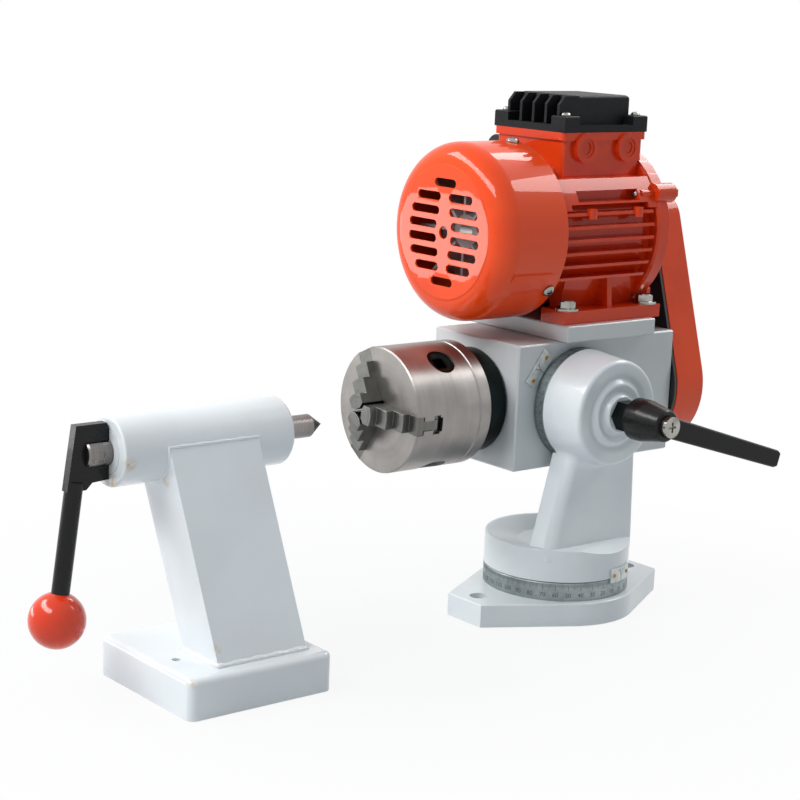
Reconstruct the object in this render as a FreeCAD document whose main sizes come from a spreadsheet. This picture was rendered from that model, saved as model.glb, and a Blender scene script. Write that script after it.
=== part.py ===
import FreeCAD, Part
import Sketcher
import math
import os
import re
from FreeCAD import Placement, Rotation, Vector

# Motorised punch former: a three-jaw chuck on a belt-driven spindle that swivels and tilts,
# with a separate tailstock of the same centre height.
# Millimetres. The origin is on the swivel axis, in the plane of the base's underside.
# +X runs along the spindle away from the chuck, +Z is up, and -Y is the side of the clamp lever.

os.makedirs("parts", exist_ok=True)
doc = FreeCAD.newDocument("punch_former")
sheet = doc.addObject("Spreadsheet::Sheet", "Sizes")

# Driving sizes: name, value, what it is. A text value is a formula of the names above it.
SIZES = [
    ("axis_high", 138, "spindle axis above the table"),
    ("axis_side", 32.5, "spindle axis behind the swivel axis, along +Y"),
    ("run_gap", 0.05, "radial clearance of a running fit"),
    ("face_gap", 0.3, "gap between faces that turn or slide past each other"),
    ("over", 1, "how far a cutting tool runs past a face"),
    ("edge_break", 0.8, "small chamfer of turned and machined edges"),
    ("bolt_gap", 0.3, "radial clearance of a bolt in its way"),
    # Base and swivel
    ("base_long", 158.6, "base plate over its end facets"),
    ("base_end", 32.4, "width of each end facet"),
    ("base_round", 53, "radius that the base plate's sides run round"),
    ("base_thick", 15, "base plate thickness"),
    ("base_hole_gap", 134, "distance between the two table bolts"),
    ("base_hole_dia", 12, "table bolt hole"),
    ("ring_dia", 96, "graduated swivel ring and column drum"),
    ("ring_high", 12.3, "height of the swivel ring"),
    ("drum_high", 21.2, "height of the column's drum above the ring"),
    ("spigot_dia", 56, "spigot that centres the drum in the ring"),
    ("spigot_high", 8, "length of that spigot"),
    ("swivel_dia", 12, "swivel bolt"),
    ("swivel_head", 20, "head of the swivel bolt"),
    ("swivel_head_high", 6.5, "height of that head"),
    ("swivel_head_deep", 7, "depth of that head's seat in the base plate"),
    ("swivel_grip", 12, "length of the swivel bolt's thread in the drum"),
    # Column and tilt pivot
    ("pillar_front", 33, "pillar's front face ahead of the swivel axis"),
    ("pillar_back", 14.5, "pillar's back face ahead of the swivel axis"),
    ("pillar_left", 38, "pillar's foot toward the chuck"),
    ("pillar_left_top", 14, "pillar's left side at the tilt axis"),
    ("pillar_right", 37, "pillar's foot toward the belt"),
    ("pillar_right_top", 34, "pillar's right side at the tilt axis"),
    ("boss_dia", 72.4, "tilt boss at its back"),
    ("boss_rim_dia", 68, "tilt boss at its front rim"),
    ("boss_back", 18, "tilt boss's back face ahead of the swivel axis"),
    ("boss_long", 31, "length of the tilt boss"),
    ("boss_root", 6, "round between the tilt boss and the pillar"),
    ("collar_high", 4, "collar round the clamp insert, above the boss's rim"),
    ("ledge_deep", 10, "filled part of the drum's dish in front of the pillar"),
    ("scoop_turn", 12.4, "turn of the scoop about the swivel axis, degrees"),
    ("scoop_fall", 22, "fall of the scoop outward, degrees"),
    ("scoop_reach", 37.3, "inner edge of the scoop from the swivel axis"),
    ("tilt_ring_dia", 73, "graduated tilt ring"),
    ("tilt_spigot_dia", 40, "spigot that centres the head in the tilt ring"),
    ("stud_dia", 12, "tilt stud"),
    # Spindle housing
    ("block_front", 51, "housing's chuck face ahead of the tilt axis"),
    ("block_long", 141, "housing along the spindle"),
    ("block_wide", 83, "housing across"),
    ("block_high", 82, "housing height"),
    ("bearing_dia", 62, "spindle bearing, outside"),
    ("bearing_bore", 30, "spindle bearing, bore"),
    ("bearing_wide", 16, "spindle bearing width"),
    ("bearing_inset", 1.5, "spindle bearings from the housing's ends"),
    ("race_thick", 4, "races of the spindle bearings"),
    ("race_sunk", 1, "seals of the spindle bearings below their faces"),
    ("housing_bore", 46, "clear bore between the spindle bearings"),
    # Chuck
    ("chuck_dia", 80, "chuck body"),
    ("chuck_long", 50, "chuck body length"),
    ("adapter_long", 10, "plate behind the chuck"),
    ("nose_dia", 68, "spindle nose flange"),
    ("nose_long", 18, "length of the nose flange"),
    ("nose_seat", 28, "seat of the flange on the spindle"),
    ("through_bore", 16, "bore through the chuck and the spindle"),
    ("chuck_cavity_dia", 62, "room for the scroll inside the chuck"),
    ("hub_dia", 24, "tube that the scroll turns on"),
    ("jaw_wide", 12, "jaw and outer slot width"),
    ("jaw_neck", 6.4, "slot width between the guides"),
    ("jaw_lip", 5, "depth of the outer slot"),
    ("jaw_slot_deep", 17.8, "depth of the whole jaw slot"),
    ("jaw_tee", 5.3, "depth of the inner slot"),
    ("jaw_gap", 0.05, "clearance of a jaw in its slot"),
    ("jaw_tip", 2.6, "distance of a jaw's tip from the axis"),
    ("jaw_step", 9.5, "length of one jaw step"),
    ("jaw_long", 36.6, "jaw length"),
    ("jaw_rise", 16, "jaw height above the chuck's face"),
    ("jaw_angle", 185, "direction of the first jaw round the spindle"),
    ("scroll_lead", 4, "jaw travel for one turn of the scroll"),
    ("pinion_dia", 19, "key pinion at the chuck's rim"),
    ("pinion_key", 8, "square key socket"),
    ("pinion_back", 30.2, "pinion axis behind the chuck's face"),
    ("pinion_root", 31, "inner end of the pinion's barrel from the spindle axis"),
    ("bevel_root", 18, "inner end of the pinion's bevel from the spindle axis"),
    ("bevel_room", 6.5, "radius of the way that the bevel turns in"),
    ("pinion_sunk", 1.2, "pinion's outer face below the chuck's side"),
    # Motor
    ("plate_thick", 11, "plate under the motor"),
    ("plate_front", 16, "that plate's end ahead of the tilt axis"),
    ("plate_long", 80, "plate along the spindle"),
    ("plate_near", 16, "plate's near edge ahead of the swivel axis"),
    ("plate_wide", 109, "plate across"),
    ("plate_screw", 5, "screws that hold the plate on the housing"),
    ("plate_screw_head", 8.8, "head of those screws"),
    ("plate_screw_deep", 5.5, "depth of their heads' seats"),
    ("plate_tap", 11, "depth of their taps in the housing"),
    ("motor_side", 37.5, "motor axis behind the swivel axis"),
    ("motor_rise", 57, "motor axis above its feet"),
    ("frame_front", 24, "fan end of the motor frame ahead of the tilt axis"),
    ("frame_long", 83, "finned frame length"),
    ("frame_dia", 110, "over the fins"),
    ("core_dia", 95, "frame inside the fins"),
    ("core_wall", 5, "wall of the frame's core"),
    ("stator_inset", 14, "stator's ends from the frame's ends"),
    ("fin_pitch", 8.4, "distance between the level fins"),
    ("fin_low", -27.5, "lowest fin from the motor axis"),
    ("fin_thick", 2, "fin thickness"),
    ("shoulder_low", 20.5, "underside of the frame's shoulder above the motor axis"),
    ("shoulder_high", 15.5, "shoulder height"),
    ("end_band", 7, "solid band at each end of the fins"),
    ("fin_boss", 6.4, "small boss between two fins"),
    ("fin_boss_low", 11.4, "its underside above the motor axis"),
    ("channel_inset", 14, "channel in the shoulder, from the frame's ends"),
    ("channel_high", 7, "height of that channel"),
    ("channel_wall", 1.3, "wall under that channel"),
    ("web_top", 28, "top of the feet's webs below the motor axis"),
    ("web_near", 20, "inner edge of a web from the motor axis"),
    ("web_thick", 7, "thickness of a web at the foot"),
    ("rib_thick", 4, "thickness of the rib on each foot"),
    ("stator_bore", 60, "stator bore"),
    ("cowl_dia", 114.6, "fan cowl"),
    ("cowl_long", 55, "fan cowl length"),
    ("cowl_wall", 1.5, "fan cowl thickness"),
    ("cowl_round", 15.5, "round between the cowl's side and its end"),
    ("shield_dia", 111, "drive-end shield"),
    ("shield_long", 17, "drive-end shield length"),
    ("shield_slope", 7, "slope at the shield's outer edge"),
    ("motor_bearing", 35, "motor bearings, outside"),
    ("shaft_dia", 14, "motor shaft"),
    ("foot_front", 14.5, "motor feet ahead of the tilt axis"),
    ("foot_long", 86.5, "motor feet along the shaft"),
    ("foot_span", 97.4, "over both feet"),
    ("foot_bolt_inset", 7.2, "foot bolt from the foot's outer edge"),
    ("foot_wide", 23, "width of one foot"),
    ("foot_thick", 8.5, "foot thickness"),
    ("foot_bolt_gap", 71, "foot bolt spacing along the shaft"),
    ("foot_bolt_dia", 6, "foot bolts"),
    ("washer_thick", 1.4, "washer under each foot bolt"),
    ("box_front", 10, "terminal box ahead of the tilt axis"),
    ("box_long", 74.5, "terminal box along the shaft"),
    ("box_wide", 67.4, "terminal box across"),
    ("box_high", 28.5, "terminal box height"),
    ("box_rise", 36, "box's underside above the motor axis"),
    ("box_wall", 3, "terminal box wall"),
    ("box_lip", 1.5, "how far the box's lip stands out"),
    ("entry_dia", 19, "round boss of each cable entry"),
    ("plug_dia", 12.4, "plug in each cable entry"),
    ("entry_high", 18.5, "cable entries above the box's underside"),
    ("gland_high", 14, "cable gland above the box's underside"),
    ("lid_flange", 4.5, "lid flange thickness"),
    ("lid_boss_high", 10.5, "lid corner bosses, from the lid's underside"),
    ("lid_high", 23.2, "whole lid height"),
    ("lid_boss", 13, "square corner boss of the lid"),
    ("lid_screw_inset", 5.8, "lid screws from the lid's sides"),
    ("lid_fin", 2.2, "lid fin thickness"),
    ("crown_inset", 9, "raised middle of the lid from its sides"),
    # Belt drive
    ("guard_wide", 26, "belt guard depth along the spindle"),
    ("guard_wall", 1.6, "belt guard sheet"),
    ("guard_plate", 2.5, "belt guard back plate"),
    ("guard_low", 46, "guard radius round the spindle pulley"),
    ("guard_top", 20, "guard radius round the motor pulley"),
    ("big_pulley", 80, "spindle pulley, outside"),
    ("small_pulley", 30, "motor pulley, outside"),
    ("belt_wide", 10, "belt width"),
    ("belt_thick", 2.4, "belt thickness"),
    ("pulley_wide", 15, "pulley width"),
    ("pulley_seat", 22, "seat of the large pulley on the spindle"),
    ("belt_groove", 2.5, "depth of the belt's track in a pulley"),
    ("pulley_rim", 1.6, "rim beside that track"),
    # Clamp lever
    ("insert_across", 18, "hexagon of the clamp insert, across flats"),
    ("insert_hex_long", 12, "visible length of that hexagon"),
    ("spline_dia", 16, "toothed end of the insert inside the lever"),
    ("hub_big_dia", 27, "lever hub, large end"),
    ("hub_small_dia", 18.5, "lever hub, small end"),
    ("hub_long", 27, "lever hub length"),
    ("lever_reach", 105, "tip of the lever from the clamp axis"),
    ("lever_droop", 17.5, "lever below the horizontal, degrees"),
    ("lever_lean", 11, "lever away from the column, degrees"),
    ("lever_high", 14, "lever arm height at its root"),
    ("lever_thick", 9, "lever arm thickness at its root"),
    ("screw_head", 13.5, "clamp screw head"),
    # Tailstock
    ("tail_x", -276.5, "tailstock base and tube, centre along the spindle"),
    ("tail_base_y", -9, "tailstock base centre across"),
    ("tail_axis_y", 18, "tailstock centre line across, as it stands in the photograph"),
    ("tail_base_long", 97, "tailstock base, square"),
    ("tail_base_high", 23.6, "tailstock base thickness"),
    ("tail_hole_x", 35.5, "small tapped hole ahead of the base centre"),
    ("tail_hole_y", 13, "small tapped hole toward the lever side of the base centre"),
    ("tail_hole_dia", 5, "diameter of that hole"),
    ("tail_hole_deep", 12, "its depth"),
    ("tube_dia", 41.2, "tailstock tube"),
    ("tube_long", 116, "tailstock tube length"),
    ("post_long", 60.6, "post along the tube"),
    ("post_thick", 36, "post across the tube at its foot"),
    ("post_room", 100, "reach of the block that the post's outline is cut from"),
    ("post_foot", 7.3, "post foot centre behind the base centre"),
    ("post_foot_y", 37, "post's front face at its foot, ahead of the base centre"),
    ("post_rise", 11, "post's top edge above the tube axis"),
    ("post_top_y", 17.4, "post's top edge ahead of the tube axis"),
    ("post_back_y", 10, "post's rear face behind the tube axis where it meets the tube"),
    ("post_back_z", 18, "that meeting line below the tube axis"),
    ("spring_room_gap", 0.3, "spring to the wall of its room"),
    ("spring_wire", 1.3, "radius of the quill spring's wire"),
    ("quill_dia", 16, "quill"),
    ("center_dia", 14, "tailstock centre"),
    ("center_out", 22.7, "cylindrical part of the centre outside the tube"),
    ("center_cone", 10, "length of the centre's point"),
    ("spring_room_dia", 26, "spring room in the tube"),
    ("spring_room_long", 68, "length of the spring room"),
    ("nose_wall", 21, "wall between the spring room and the tube's front"),
    ("pin_out", 8, "lever pin outside the tube's end"),
    ("lever_pin_dia", 5, "lever pin"),
    ("cam_lead", 12, "quill travel for one radian of the lever"),
    ("cam_turn", 28, "turn of the lever, degrees"),
    ("plate_lever_thick", 6, "lever head thickness"),
    ("rod_dia", 10.4, "tail lever rod"),
    ("rod_long", 64, "tail lever rod length"),
    ("rod_root_x", 12.2, "root of the rod ahead of the lever pin"),
    ("rod_root_z", 15, "root of the rod below the lever pin"),
    ("rod_lean", 7.6, "lean of the rod, degrees"),
    ("slot_long", 15, "lever slot in the quill behind the lever pin"),
    ("ball_dia", 32.6, "ball knob"),
    ("ball_reach", 79, "ball centre from the root of the rod"),
    # Derived places
    ("foot_bolt_span", "=foot_span - 2 * foot_bolt_inset", "foot bolt spacing across"),
    ("ring_top", "=base_thick + ring_high", "top of the swivel ring"),
    ("drum_base", "=ring_top + face_gap", "underside of the drum"),
    ("drum_top", "=drum_base + drum_high", "rim of the drum"),
    ("block_low", "=axis_high - block_high / 2", "housing underside"),
    ("block_top", "=axis_high + block_high / 2", "housing top"),
    ("block_near", "=axis_side - block_wide / 2", "housing face at the tilt pivot"),
    ("block_rear", "=block_long - block_front", "housing's belt face"),
    ("nose_face", "=-block_front - 1", "back of the nose flange"),
    ("adapter_rear", "=nose_face - nose_long", "back of the plate behind the chuck"),
    ("chuck_rear", "=adapter_rear - adapter_long", "back of the chuck body"),
    ("chuck_face", "=chuck_rear - chuck_long", "front face of the chuck"),
    ("slot_floor", "=chuck_face + jaw_slot_deep", "floor of the jaw slots"),
    ("plate_low", "=block_top", "underside of the motor plate"),
    ("plate_top", "=block_top + plate_thick", "top of the motor plate"),
    ("motor_high", "=plate_top + motor_rise", "motor axis height"),
    ("frame_rear", "=frame_long - frame_front", "drive end of the motor frame"),
    ("lid_low", "=motor_high + box_rise + box_high", "underside of the lid"),
    ("guard_start", "=block_rear + guard_plate", "front edge of the guard cover"),
    ("guard_end", "=guard_start + guard_wide", "outer face of the guard cover"),
    ("belt_mid", "=guard_start + guard_wide / 2", "middle of the belt"),
    ("belt_rise", "=motor_high - axis_high", "height between the pulleys"),
    ("belt_shift", "=motor_side - axis_side", "sideways shift between the pulleys"),
    ("belt_span", "=sqrt(belt_rise * belt_rise + belt_shift * belt_shift)", "pulley centre distance"),
    ("boss_front", "=-boss_back - boss_long", "front rim of the tilt boss"),
    ("insert_back", "=boss_front - 4.3", "back face of the clamp insert"),
    ("hub_back", "=insert_back - insert_hex_long", "large end of the lever hub"),
    ("hub_front", "=hub_back - hub_long", "small end of the lever hub"),
    ("tube_end", "=tail_x - tube_long / 2", "lever end of the tube"),
    ("tube_nose", "=tail_x + tube_long / 2", "front end of the tube"),
    ("tail_pin_x", "=tube_end - pin_out", "lever pin"),
]

for row, (alias, value, note) in enumerate(SIZES, start=1):
    sheet.set(f"A{row}", note)
    sheet.set(f"B{row}", str(value))
    sheet.setAlias(f"B{row}", alias)
doc.recompute()

ALIASES = {alias for alias, _, _ in SIZES}


def full(formula):
    """A formula of size names, written the way the document's objects need it."""
    return re.sub(r"[a-z][a-z_]+", lambda m: f"Sizes.{m.group()}" if m.group() in ALIASES else m.group(),
                  str(formula))


def size(alias):
    """The number in one cell of the sheet."""
    value = sheet.get(alias)
    return float(getattr(value, "Value", value))


def bind(thing, prop, formula):
    thing.setExpression(prop, full(formula))


AXIS_TURN = {"X": Rotation(Vector(0, 1, 0), 90), "Y": Rotation(Vector(1, 0, 0), -90), "Z": Rotation()}
BODY_TURN = {"X": Rotation(), "Y": Rotation(Vector(0, 0, 1), 90), "Z": Rotation(Vector(0, 1, 0), -90)}


def place(thing, at, rotation=None):
    """Tie an object's position to formulas, and give it a fixed turn."""
    thing.Placement = Placement(Vector(), rotation or Rotation())
    for prop, formula in zip("xyz", at):
        bind(thing, f"Placement.Base.{prop}", formula)
    return thing


def rod(radius, length, at, axis="X", rotation=None):
    """A cylinder that starts at a point and runs along +axis."""
    thing = doc.addObject("Part::Cylinder", "Rod")
    bind(thing, "Radius", radius)
    bind(thing, "Height", length)
    return place(thing, at, rotation or AXIS_TURN[axis])


def cone(radius, end_radius, length, at, axis="X"):
    thing = doc.addObject("Part::Cone", "Cone")
    bind(thing, "Radius1", radius)
    bind(thing, "Radius2", end_radius)
    bind(thing, "Height", length)
    return place(thing, at, AXIS_TURN[axis])


def block(dims, at, rotation=None):
    """A box from its low corner."""
    thing = doc.addObject("Part::Box", "Block")
    for prop, formula in zip(("Length", "Width", "Height"), dims):
        bind(thing, prop, formula)
    return place(thing, at, rotation)


def prism(sides, radius, length, at, axis="X"):
    """A regular prism, by its corner radius."""
    thing = doc.addObject("Part::Prism", "Prism")
    thing.Polygon = sides
    bind(thing, "Circumradius", radius)
    bind(thing, "Height", length)
    return place(thing, at, AXIS_TURN[axis])


def fuse(*things):
    joined = doc.addObject("Part::MultiFuse", "Fusion")
    joined.Shapes = list(things)
    joined.Refine = True
    return joined


def cut(base, *tools):
    result = doc.addObject("Part::Cut", "Cut")
    result.Base = base
    result.Tool = tools[0] if len(tools) == 1 else fuse(*tools)
    result.Refine = True
    return result


def common(first, second):
    result = doc.addObject("Part::Common", "Common")
    result.Base = first
    result.Tool = second
    return result


def group(*things):
    """Several separate solids in one node."""
    result = doc.addObject("Part::Compound", "Group")
    result.Links = list(things)
    return result


def origin_of(body, role):
    return [item for item in body.Origin.OriginFeatures if item.Role == role][0]


def outline(body, plane, points):
    """A closed sketch of straight lines through points that are tied to formulas."""
    sketch = body.newObject("Sketcher::SketchObject", "Outline")
    sketch.AttachmentSupport = (origin_of(body, plane), [""])
    sketch.MapMode = "FlatFace"
    count = len(points)
    turn = 2 * math.pi / count
    # The lines start on a circle in the order of the points; the constraints then move them.
    starts = [Vector(30 * math.cos(turn * i), 30 * math.sin(turn * i), 0) for i in range(count)]
    for i in range(count):
        sketch.addGeometry(Part.LineSegment(starts[i], starts[(i + 1) % count]), False)
    for i in range(count):
        sketch.addConstraint(Sketcher.Constraint("Coincident", i, 2, (i + 1) % count, 1))
    for i, point in enumerate(points):
        for kind, formula, start in zip(("DistanceX", "DistanceY"), point, (starts[i].x, starts[i].y)):
            index = sketch.addConstraint(Sketcher.Constraint(kind, -1, 1, i, 1, start))
            bind(sketch, f"Constraints[{index}]", formula)
    return sketch


def turned(points, at=("0", "0", "0"), axis="X"):
    """A turned piece: points are (along the axis, radius)."""
    body = doc.addObject("PartDesign::Body", "Turned")
    sketch = outline(body, "XY_Plane", points)
    turn = body.newObject("PartDesign::Revolution", "Turning")
    turn.Profile = sketch
    turn.ReferenceAxis = (origin_of(body, "X_Axis"), [""])
    turn.Angle = 360
    body.Tip = turn
    return place(body, at, BODY_TURN[axis])


def padded(points, length, at=("0", "0", "0"), plane="XY_Plane", rotation=None):
    """A flat outline given a thickness. XY grows along +Z, YZ along +X and XZ along -Y."""
    body = doc.addObject("PartDesign::Body", "Padded")
    sketch = outline(body, plane, points)
    pad = body.newObject("PartDesign::Pad", "Thickness")
    pad.Profile = sketch
    bind(pad, "Length", length)
    body.Tip = pad
    return place(body, at, rotation)


def rectangle(low_u, low_v, high_u, high_v):
    return [(low_u, low_v), (high_u, low_v), (high_u, high_v), (low_u, high_v)]


def soften(body, radius, test, kind="Fillet"):
    """Round or chamfer the edges of a body's last feature that pass a test."""
    doc.recompute()
    last = body.Tip
    names = [f"Edge{i}" for i, edge in enumerate(last.Shape.Edges, start=1) if test(edge)]
    feature = body.newObject(f"PartDesign::{kind}", kind)
    feature.Base = (last, names)
    bind(feature, "Radius" if kind == "Fillet" else "Size", radius)
    body.Tip = feature
    return body


def eased(solid, radius, test):
    """Round the edges of a finished solid that pass a test."""
    doc.recompute()
    rounded = doc.addObject("Part::Fillet", "Eased")
    rounded.Base = solid
    chosen = [i for i, edge in enumerate(solid.Shape.Edges, start=1) if test(edge)]
    rounded.Edges = [(i, size(radius), size(radius)) for i in chosen]
    return rounded


def runs_along(direction):
    """A test for straight edges in one direction, in the body's own axes."""
    def test(edge):
        if not isinstance(edge.Curve, Part.Line):
            return False
        return abs(abs(edge.tangentAt(edge.FirstParameter).dot(direction)) - 1) < 1e-6
    return test


def lies_at(axis, value, slack=1e-3):
    """A test for edges that lie wholly in one plane across an axis."""
    def test(edge):
        box = edge.BoundBox
        low, high = getattr(box, f"{axis}Min"), getattr(box, f"{axis}Max")
        return abs(low - value) < slack and abs(high - value) < slack
    return test


def both(first, second):
    return lambda edge: first(edge) and second(edge)


def circle_of(radius, slack=1e-3):
    """A test for full circles of one radius."""
    return lambda edge: isinstance(edge.Curve, Part.Circle) and abs(edge.Curve.Radius - radius) < slack


UP = Vector(0, 0, 1)
ALONG = Vector(1, 0, 0)
ACROSS = Vector(0, 1, 0)

NODES = {}


def node(name, thing):
    """Give a finished sub-part its own name."""
    thing.Label = name
    NODES[name] = thing
    return thing


def spindle_at(along):
    return (along, "axis_side", "axis_high")


def motor_at(along):
    return (along, "motor_side", "motor_high")


def spun(thing, angle, centre=None):
    """Turn a finished piece round a line along X through a point."""
    copy = doc.addObject("Part::Compound", "Turned_copy")
    copy.Links = [thing]
    middle = centre or Vector(0, size("axis_side"), size("axis_high"))
    copy.Placement = Placement(Vector(), Rotation(ALONG, angle), middle)
    return copy


# Base plate, swivel ring and their bolts

SIDE_ANGLE = "(atan2(base_end / 2; base_long / 2) + acos(base_round / " \
    "sqrt(base_long * base_long / 4 + base_end * base_end / 4)))"
APEX = f"base_round / sin({SIDE_ANGLE})"


def make_base():
    plate = padded([("-base_long / 2", "-base_end / 2"), ("0", f"-({APEX})"),
                    ("base_long / 2", "-base_end / 2"), ("base_long / 2", "base_end / 2"),
                    ("0", APEX), ("-base_long / 2", "base_end / 2")], "base_thick")
    soften(plate, "base_round", both(runs_along(UP), lambda e: abs(e.BoundBox.XMin) < 1e-6))
    soften(plate, "1", lies_at("Z", size("base_thick")))
    holes = [rod("base_hole_dia / 2", "base_thick + 2 * over",
                 (f"{side} * base_hole_gap / 2", "0", "-over"), "Z") for side in (-1, 1)]
    bolt_way = rod("swivel_dia / 2 + bolt_gap", "base_thick + 2 * over", ("0", "0", "-over"), "Z")
    bolt_seat = rod("swivel_head / 2 + bolt_gap", "swivel_head_deep + over", ("0", "0", "-over"), "Z")
    node("base_plate", cut(plate, *holes, bolt_way, bolt_seat))

    ring = turned([("0", "spigot_dia / 2 + run_gap"), ("ring_high", "spigot_dia / 2 + run_gap"),
                   ("ring_high", "ring_dia / 2 - edge_break"), ("ring_high - edge_break", "ring_dia / 2"),
                   ("0", "ring_dia / 2")], ("0", "0", "base_thick"), "Z")
    node("base_scale_ring", ring)


# The boss's front: height above its rim and radius, from the rim inward over a ring and a collar.
BOSS_FACE = [("0", "boss_rim_dia / 2"), ("0", "26.5"), ("-0.8", "24.6"), ("-1.5", "23"), ("-1.5", "22"),
             ("-0.7", "20.9"), ("0.5", "20"), ("1.2", "19"), ("1.4", "18.1"), ("1.1", "17.2"),
             ("0.3", "16.2"), ("-0.4", "15.2"), ("-0.4", "14.2"), ("0.4", "13.3"), ("1.8", "12.7"),
             ("3.2", "12.3"), ("collar_high", "11.4")]


def boss_seam(edge):
    """The line where the boss's round side meets the pillar's front face."""
    in_front = lies_at("Y", -size("pillar_front"))(edge)
    return in_front and isinstance(edge.Curve, Part.Circle) and edge.BoundBox.ZMin > size("drum_top") + 20


def make_column():
    middle = ("0", "0", "0")
    drum = turned([("drum_base - spigot_high", "0"), ("drum_base - spigot_high", "spigot_dia / 2"),
                   ("drum_base", "spigot_dia / 2"), ("drum_base", "ring_dia / 2"),
                   ("drum_top", "ring_dia / 2"), ("drum_top", "ring_dia / 2 - 3"),
                   ("drum_top - 5", "ring_dia / 2 - 22"), ("drum_top - 5", "0")], middle, "Z")
    soften(drum, "1.4", circle_of(size("ring_dia") / 2 - 3))
    soften(drum, "1.2", both(circle_of(size("ring_dia") / 2), lies_at("X", size("drum_top"))))
    pillar = padded([("-pillar_left", "drum_top - 8"), ("pillar_right", "drum_top - 8"),
                     ("pillar_right", "drum_top"), ("pillar_right_top", "axis_high"),
                     ("-pillar_left_top", "axis_high"), ("-pillar_left", "drum_top - 1")],
                    "pillar_front - pillar_back", ("0", "-pillar_back", "0"), "XZ_Plane")
    near = -(size("pillar_front") - size("pillar_back"))
    front_edges = lies_at("Y", near)
    soften(pillar, "7", both(front_edges, lambda e: e.BoundBox.XMax < 0 and e.BoundBox.ZLength > 20))
    soften(pillar, "3", both(lies_at("Y", near), lambda e: e.BoundBox.XMin > 10 and e.BoundBox.ZLength > 20))
    boss = turned([("boss_back", "0"), ("boss_back", "boss_dia / 2")]
                  + [(f"boss_back + boss_long + {rise}", radius) for rise, radius in BOSS_FACE]
                  + [("boss_back + boss_long + collar_high", "0")], ("0", "0", "axis_high"), "Y")
    boss.Placement.Rotation = Rotation(UP, -90)
    soften(boss, "3", circle_of(size("boss_rim_dia") / 2))
    # In front of the pillar the drum's dish is filled, and its edge falls away in a flat scoop.
    ledge = common(rod("ring_dia / 2 - 1.4", "ledge_deep", ("0", "0", "drum_top - ledge_deep"), "Z"),
                   block(("ring_dia", "ring_dia / 2", "ledge_deep"),
                         ("-ring_dia / 2", "ledge_deep - pillar_front - ring_dia / 2",
                          "drum_top - ledge_deep")))
    scoop = block(("2 * ring_dia", "ring_dia / 2", "ledge_deep"), ("0", "0", "0"))
    outward = Rotation(UP, size("scoop_turn")).multiply(Rotation(ALONG, size("scoop_fall")))
    inner = outward.multVec(Vector(-size("ring_dia"), -size("ring_dia") / 2, 0))
    place(scoop, (f"scoop_reach * sin(scoop_turn * 1 deg) + {inner.x}",
                  f"-scoop_reach * cos(scoop_turn * 1 deg) + {inner.y}", f"drum_top + {inner.z}"), outward)
    solid = eased(fuse(cut(fuse(drum, ledge), scoop), pillar, boss), "boss_root", boss_seam)
    ring_room = rod("tilt_ring_dia / 2 + 0.6", "boss_back - 1", ("0", "-boss_back", "axis_high"), "Y")
    stud_way = rod("stud_dia / 2 + 0.1", "boss_long + 8", ("0", "boss_front - 6", "axis_high"), "Y")
    bolt_tap = rod("swivel_dia / 2", "spigot_high + swivel_grip",
                   ("0", "0", "drum_base - spigot_high - over"), "Z")
    node("column_casting", cut(solid, ring_room, stud_way, bolt_tap))
    node("swivel_bolt", fuse(
        rod("swivel_head / 2", "swivel_head_high", ("0", "0", "swivel_head_deep - swivel_head_high"), "Z"),
        rod("swivel_dia / 2", "drum_base + swivel_grip - 2 * over - swivel_head_high",
            ("0", "0", "swivel_head_high"), "Z")))
    ring = turned([("-boss_back", "tilt_spigot_dia / 2 + run_gap"), ("-boss_back", "tilt_ring_dia / 2"),
                   ("block_near - face_gap - 0.8", "tilt_ring_dia / 2"),
                   ("block_near - face_gap", "tilt_ring_dia / 2 - 0.8"),
                   ("block_near - face_gap", "tilt_spigot_dia / 2 + run_gap")], ("0", "0", "axis_high"), "Y")
    node("tilt_scale_ring", ring)


PLATE_TURN = 17.0


def make_index_plates():
    # Swivel index plate: a bent strip on the drum, over the ring's top edge.
    band = cut(rod("ring_dia / 2 + 1.2", "9.5", ("0", "0", "drum_base - 3"), "Z"),
               rod("ring_dia / 2", "11.5", ("0", "0", "drum_base - 4"), "Z"))
    window = block(("22", "40", "30"), ("-11", "-60", "drum_base - 8"))
    holder = doc.addObject("Part::Compound", "Window")
    holder.Links = [window]
    holder.Placement = Placement(Vector(), Rotation(UP, PLATE_TURN))
    node("swivel_index_plate", common(band, holder))
    # Tilt index plate: a flat strip on the housing, beside the tilt ring.
    slant = Rotation(ACROSS, -TILT_PLATE_ANGLE)
    reach = "(tilt_ring_dia / 2 + 5.3)"
    away = Vector(math.cos(math.radians(TILT_PLATE_AT)), 0, math.sin(math.radians(TILT_PLATE_AT)))
    plate = block(("25", "1.2", "9.5"), ("0", "0", "0"))
    along = slant.multVec(ALONG)
    upward = slant.multVec(UP)
    corner = (away.x, away.z)
    place(plate, (f"{reach} * {corner[0]} - {12.5 * along.x + 4.75 * upward.x}", "block_near - 1.2",
                  f"axis_high + {reach} * {corner[1]} - {12.5 * along.z + 4.75 * upward.z}"), slant)
    node("tilt_index_plate", plate)


TILT_PLATE_AT = 143.4
TILT_PLATE_ANGLE = 53.4


# Spindle housing and spindle

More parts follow.
